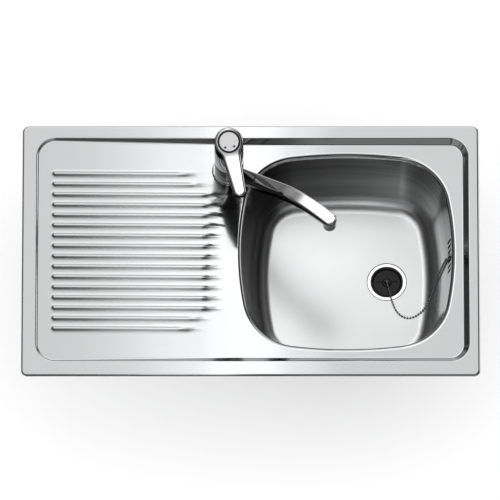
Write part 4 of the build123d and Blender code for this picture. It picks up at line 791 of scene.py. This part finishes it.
def addHandle():
    # rings from the pocket's middle over its wall, the top, the rolled edge, the side, the underside and the cavity
    top, slant, front, roll, lowEdge, rootBottom, tipBottom = picked(
        handleSize, "top", "slant", "front", "edge", "lowEdge", "rootBottom", "tipBottom")
    outline = leverOutline()
    tangent = unit(np.roll(outline, -1, axis=0) - np.roll(outline, 1, axis=0))
    outward = rows(tangent[:, 1], -tangent[:, 0])
    ray = around(np.arctan2(outline[:, 1], outline[:, 0]))
    rings = []
    # circles in the slanted plane, sunk below it
    pocket, depth, edge = picked(handleSize, "pocketRadius", "pocketDepth", "pocketEdge")
    for radius, sunk in ((0.0, depth), (pocket - edge, depth), (pocket, depth - edge), (pocket, edge),
                         (pocket + edge, 0.0)):
        x, y = (radius * ray).T
        rings.append(rows(x * cos(slant) - sunk * sin(slant), y, top - x * sin(slant) - sunk * cos(slant)))
    inner, inset = rings[-1][:, :2], outline - outward * roll
    for share in np.linspace(0, 1, 26)[1:] ** 1.3:
        plan = inner * (1 - share) + inset * share
        rings.append(raised(plan, handleTop(plan[:, 0])))
    for turn in np.linspace(0, pi / 2, 7)[1:]:
        rings.append(raised(inset + outward * roll * sin(turn), handleTop(inset[:, 0]) - roll * (1 - cos(turn))))
    x, side = outline[:, 0], rings[-1][:, 2]
    lever = (x - front) * (tipBottom - rootBottom) / (handleSize["reach"] + handleSize["bottomRun"] - front)
    bottom = np.where(x > front, rootBottom + lever, skirtLevel(x))
    for share in np.linspace(0, 1, 8)[1:]:
        rings.append(raised(outline, side * (1 - share) + (bottom + lowEdge) * share))
    inset = outline - outward * lowEdge
    under = inset * np.minimum(1.0, front / np.maximum(inset[:, 0], 1e-6))[:, None]
    cavity = handleSize["cavityRadius"]
    mouth = ray * (cavity - handleSize["mouthEdge"])
    rings += [raised(inset, bottom), raised(under, np.where(inset[:, 0] > front, rootBottom, skirtLevel(under[:, 0]))),
              raised(under, skirtLevel(under[:, 0])), raised(mouth, skirtLevel(mouth[:, 0]))]
    start = np.arcsin(np.clip((rings[-1][:, 2] - tap["pivot"]) / cavity, -1, 1))
    for share in np.linspace(0, 1, 14)[1:]:
        lift = start + (pi / 2 - start) * share
        rings.append(raised((cavity * np.cos(lift))[:, None] * ray,
                            np.minimum(tap["pivot"] + cavity * np.sin(lift), top - handleSize["roof"])))
    return closedPiece("handleCap", [turnedAway(np.stack(rings), handleSize["azimuth"])], 32.0)


indicator = {
    "ringInner": 17.8, "ringOuter": 21.35, "ringStep": 1.7, "ringTop": (0.62, 0.3), "ringFoot": -0.7,
    "markRadius": 2.1, "markReach": 13.2, "markTurns": (-45, 37), "markTop": 0.65, "sunk": 0.2, "edge": 0.2}


def onHandle(grid):
    # points measured along and up from the slanted plane's middle, set on the handle
    slant = handleSize["slant"]
    x, z = grid[..., 0], grid[..., 2]
    placed = rows(x * cos(slant) + z * sin(slant), grid[..., 1], handleSize["top"] - x * sin(slant) + z * cos(slant))
    return turnedAway(placed, handleSize["azimuth"])


def addGrooveRing():
    # dark ring that fills the groove round the indicator and laps over its edge: painted shade standing for the
    # groove's shadow
    inner, outer, step, (high, low), foot, sunk = picked(
        indicator, "ringInner", "ringOuter", "ringStep", "ringTop", "ringFoot", "sunk")
    outline = roundedProfile([(inner, sunk), (inner, high), (outer, low), (outer, foot), (inner + step, foot),
                              (inner + step, sunk)], indicator["edge"])
    return closedPiece("indicatorRing", [onHandle(revolved(outline, 96))])


def addMark(name, turn):
    # a small raised dot on the indicator
    radius, reach, high, edge = picked(indicator, "markRadius", "markReach", "markTop", "edge")
    dot = revolved(ringProfile(onAxis, radius, -indicator["sunk"], high, edge), 32)
    return closedPiece(name, [onHandle(dot + [reach * cos(radians(turn)), reach * sin(radians(turn)), 0])])


def shadeBelow(piece, material, limit):
    # faces whose normal points down take a second, dark material: painted shade on the underside
    piece.data.materials.append(material)
    normals = np.empty(len(piece.data.polygons) * 3)
    piece.data.polygons.foreach_get("normal", normals)
    piece.data.polygons.foreach_set("material_index", (normals[2::3] < limit).astype(np.int32))


def setPiece(piece, body, slot, material, *replaced):
    # a piece's finish, the body that carries it, its material slot, which is not used, and the nodes that it stands for
    dress(piece, material)
    if body:
        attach(piece, body)
    if replaced:
        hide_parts(*replaced)


for piece, body, material, node in (
        (addBaseRing(), "sink", chrome, "base_ring"), (addTapBody(), "sink", chrome, "tap_body"),
        (addDome(), "sink", chrome, "cartridge_dome"), (addSpout(), "spout", spoutChrome, "spout"),
        (addAerator(), "spout", shadedChrome, "aerator_shell"), (addHandle(), "lever", handleChrome, "handle")):
    setPiece(piece, body, "chrome_plate", material, node)
# painted shade under the handle
shadeBelow(bpy.data.objects["handleCap"], darkRing, -0.5)
# painted shade in the indicator's groove
setPiece(addGrooveRing(), "lever", "dark_ring", darkRing)
hotTurn, coldTurn = indicator["markTurns"]
setPiece(addMark("hotDot", hotTurn), "lever", "hot_inlay", hotInlay, "hot_mark")
setPiece(addMark("coldDot", coldTurn), "lever", "cold_inlay", coldInlay, "cold_mark")
print("tap made")

chain = {
    "diameter": 3.2, "length": 277.0, "pitch": 5.7, "beadRadius": 2.1, "wireRadius": 0.35, "wireStep": 1.5,
    "route": [
        (258.2, -2.6, -167.6), (260.6, -13.0, -167.9), (263.8, -26.0, -168.2), (267.6, -41.0, -168.2),
        (273.8, -57.0, -168.2), (284.0, -69.0, -168.2), (297.7, -73.6, -168.2), (311.0, -70.0, -168.2),
        (322.5, -61.0, -167.7), (331.2, -50.5, -165.7), (338.0, -38.5, -161.6), (343.6, -25.0, -153.5),
        (348.2, -15.5, -135.0), (354.9, -8.0, -105.0), (361.4, -2.5, -75.0), (366.4, 0.4, -52.0),
        (368.4, 0.0, -41.5)]}


def splinePoints(route, resolution=16):
    # points of the NURBS curve that has the route as its control points
    curve = bpy.data.curves.new("route", "CURVE")
    curve.dimensions = "3D"
    curve.resolution_u = resolution
    spline = curve.splines.new("NURBS")
    spline.points.add(len(route) - 1)
    spline.points.foreach_set("co", np.hstack([np.array(route) * perMm, np.ones((len(route), 1))]).ravel())
    spline.order_u = 3
    spline.use_endpoint_u = True
    holder = bpy.data.objects.new("route", curve)
    mesh = bpy.data.meshes.new_from_object(holder)
    points = np.empty(len(mesh.vertices) * 3)
    mesh.vertices.foreach_get("co", points)
    bpy.data.objects.remove(holder)
    bpy.data.meshes.remove(mesh)
    bpy.data.curves.remove(curve)
    return points.reshape(-1, 3) / perMm


def alongLine(points, spacing):
    # points at even distances along a line, the line's direction and two directions across it there, and its length
    run = joined([0], np.cumsum(np.linalg.norm(np.diff(points, axis=0), axis=1)))
    at = np.linspace(0, run[-1], int(round(run[-1] / spacing)) + 1)
    spots = between(at, run, points)
    along = unit(np.gradient(spots, axis=0))
    side = unit(np.cross(along, [0.31, 0.12, 0.94]))
    return spots, (along, side, np.cross(along, side)), run[-1]


def addChain():
    # beads on a wire: each bead is a small sphere, the wire a thin tube through them all
    line = splinePoints(chain["route"])
    spots, axes, length = alongLine(line, chain["pitch"])
    print("chain", round(length, 1), "of", chain["length"], "mm,", len(spots), "beads")
    turn, lift = np.linspace(0, 2 * pi, 10, endpoint=False), np.linspace(-pi / 2, pi / 2, 8)[:, None]
    ball = rows(np.sin(lift), np.cos(lift) * np.cos(turn), np.cos(lift) * np.sin(turn)) * chain["beadRadius"]
    beads = spots[:, None, None]
    for i in range(3):
        beads = beads + ball[None, ..., i:i + 1] * axes[i][:, None, None]
    fine, (_, side, other), _ = alongLine(line, chain["wireStep"])
    ring = np.linspace(0, 2 * pi, 6, endpoint=False)[:, None]
    wire = fine[:, None] + chain["wireRadius"] * (np.cos(ring) * side[:, None] + np.sin(ring) * other[:, None])
    wire = joined(np.broadcast_to(fine[0], wire[:1].shape), wire, np.broadcast_to(fine[-1], wire[:1].shape))
    piece = closedPiece("plugChain", [*beads, wire], 60.0)
    setPiece(piece, None, "polished_steel", chainSteel, "plug_chain")
    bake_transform(piece)


addChain()
print("chain made")

white = (1, 1, 1, 1)
floorPaper = {"level": -246.4, "color": (0.82, 0.82, 0.82, 1), "glow": 0.36}


def addFloor():
    # a wide plane under the waste; its glow is added for camera, glossy and transmitted rays only
    mesh = bpy.data.meshes.new("floor")
    mesh.from_pydata([(x, y, floorPaper["level"] * perMm) for x, y in ((-1, -1), (1, -1), (1, 1), (-1, 1))],
                     [], [(0, 1, 2, 3)])
    addToScene("floor", mesh)
    material = bpy.data.materials.new("floorPaper")
    material.use_nodes = True
    tree = material.node_tree
    sockets = tree.nodes["Principled BSDF"].inputs
    for name, value in (("Base Color", floorPaper["color"]), ("Roughness", 0.9), ("Specular IOR Level", 0.1),
                        ("Emission Color", white)):
        sockets[name].default_value = value
    path = addNode(tree, "LightPath").outputs
    seen = reckon(tree, "MAXIMUM", path["Is Camera Ray"], path["Is Glossy Ray"])
    seen = reckon(tree, "MAXIMUM", seen, path["Is Transmission Ray"])
    tree.links.new(reckon(tree, "MULTIPLY", seen, floorPaper["glow"]), sockets["Emission Strength"])
    mesh.materials.append(material)


# sky: stops of (part of the direction along an axis, level), and round patches
sky = {
    "Y": [(-1.0, 0.01), (-0.75, 0.01), (-0.5, 0.02), (-0.35, 0.15), (-0.2, 0.5), (0.0, 0.82), (0.34, 0.98), (0.7, 1.45),
          (0.85, 1.2), (1.0, 0.6)],
    "X": [(-1.0, 0.02), (-0.75, 0.04), (-0.6, 0.15), (-0.45, 0.75), (-0.3, 1.0), (0.06, 1.0), (0.2, 0.4), (0.3, 0.01),
          (1.0, 0.01)],
    "Z": [(-1.0, 0.25), (0.0, 0.25), (0.1, 0.4), (0.25, 1.0), (1.0, 1.0)],
    "lowBand": [(-1.0, 0.0), (0.14, 0.0), (0.24, 0.32), (0.42, 0.32), (0.54, 0.0), (1.0, 0.0)],
    "darkPatch": {"towards": (-0.53, 0.76, 0.38), "inner": radians(12), "outer": radians(24), "level": 0.35},
    "rightHorizon": {"towards": (0.94, 0.34, 0.02), "inner": radians(9), "outer": radians(20), "level": 1.1},
    "frontLift": {"towards": (0, -0.93, 0.36), "inner": radians(12), "outer": radians(28), "level": 0.06},
    "bandGap": {"towards": (0, -0.93, 0.37), "inner": radians(9), "outer": radians(18)},
    "gain": 8.0, "backWall": (0.6, 0.8), "diffuseLevel": 0.9}


def lightSky():
    # the world's brightness is a product of three ramps: it rises from the front over the zenith to the back, falls
    # off to the left and, sooner, to the right, and towards the horizon; camera rays see plain white
    world = bpy.data.worlds.new("studioSky")
    bpy.context.scene.world = world
    world.use_nodes = True
    tree = world.node_tree
    tree.nodes.clear()
    place = addNode(tree, "TexCoord").outputs["Generated"]
    parts = addNode(tree, "SeparateXYZ", {0: place}).outputs

    def ramp(axis, stops, scale=0.5):
        # a smooth ramp over one part of the direction
        made = addNode(tree, "ValToRGB", {"Fac": reckon(tree, "MULTIPLY_ADD", parts[axis], 0.5, 0.5)})
        made.color_ramp.interpolation = "B_SPLINE"
        elements = made.color_ramp.elements
        while len(elements) < len(stops):
            elements.new(0.5)
        for element, (spot, level) in zip(elements, stops):
            element.position, element.color = spot / 2 + 0.5, (level * scale, level * scale, level * scale, 1)
        return made.outputs["Color"]

    def patch(name, outside, inside):
        # a round patch of the sky: one level inside its inner angle, another past its outer one
        towards, inner, outer = picked(sky[name], "towards", "inner", "outer")
        return rampBetween(tree, partTowards(tree, place, towards), cos(outer), cos(inner), outside, inside)

    def background(strength):
        return addNode(tree, "Background", {"Color": white, "Strength": strength}).outputs[0]

    def mixed(share, first, second):
        return addNode(tree, "MixShader", {"Fac": share, 1: first, 2: second}).outputs[0]

    # the side ramp only counts below the back wall
    side = reckon(tree, "MAXIMUM", ramp("X", sky["X"]), rampBetween(tree, parts["Y"], *sky["backWall"], 0.0, 0.5))
    level = reckon(tree, "MULTIPLY", reckon(tree, "MULTIPLY", ramp("Y", sky["Y"]), side), ramp("Z", sky["Z"]))
    level = reckon(tree, "MULTIPLY", level, patch("darkPatch", sky["gain"], sky["gain"] * sky["darkPatch"]["level"]))
    # an even band low over the horizon, so that the sheet stays light when seen from low down; it has a gap in front
    band = reckon(tree, "MULTIPLY", ramp("Z", sky["lowBand"], 1.0), patch("bandGap", 1.0, 0.0))
    level = reckon(tree, "MAXIMUM", level, band)
    for name in ("rightHorizon", "frontLift"):
        level = reckon(tree, "ADD", level, patch(name, 0.0, sky[name]["level"]))
    # surfaces that scatter light get an even sky
    path = addNode(tree, "LightPath").outputs
    scattered = mixed(path["Is Diffuse Ray"], background(level), background(sky["diffuseLevel"]))
    addNode(tree, "OutputWorld", {"Surface": mixed(path["Is Camera Ray"], scattered, background(1.0))})


# lamps: name, place, width and depth in metres, level, turn
softboxes = [
    ("overheadLamp", (-0.035, 1.6, 1.5), 0.2, 3.6, 0.35, (0, 0, 0)),
    ("overheadGlow", (-0.035, 1.6, 1.52), 0.36, 3.6, 0.25, (0, 0, 0)),
    ("bowlLamp", (0.17, 0.565, 1.5), 0.34, 0.24, 1.0, (0, 0, 0)),
    ("frontStrip", (-0.13, -1.35, 1.5), 0.2, 2.2, 0.8, (0, 0, 0)),
    ("frontCard", (1.1, -2.2, 1.0), 2.0, 1.8, 0.16, (radians(60), 0, 0))]


def addSoftbox(name, spot, width, depth, level, turn):
    # a rectangular lamp of even brightness: its power is level times pi times its area
    data = bpy.data.lights.new(name, "AREA")
    data.shape = "RECTANGLE"
    data.size, data.size_y = width, depth
    data.energy = level * pi * width * depth
    lamp = addToScene(name, data)
    lamp.location, lamp.rotation_euler = spot, turn
    lamp.visible_camera = False


view = {
    "distance": 20.6, "frameWidth": 0.9388, "sensor": 36.0, "elevation": radians(70), "aim": (-0.0013, 0.0005, 0.006)}


def addCamera():
    # from the front at the photograph's elevation, far off with a long lens
    distance, tilt = picked(view, "distance", "elevation")
    data = bpy.data.cameras.new("camera")
    camera = addToScene("camera", data)
    data.sensor_width = view["sensor"]
    data.lens = view["sensor"] * distance / view["frameWidth"]
    data.clip_end = 60.0
    x, y, z = view["aim"]
    camera.location = (x, y - distance * cos(tilt), z + distance * sin(tilt))
    camera.rotation_euler = (pi / 2 - tilt, 0, 0)
    bpy.context.scene.camera = camera


addFloor()
lightSky()
for softbox in softboxes:
    addSoftbox(*softbox)
addCamera()
bpy.context.scene.view_settings.view_transform = "Standard"
print("floor, light and camera made")
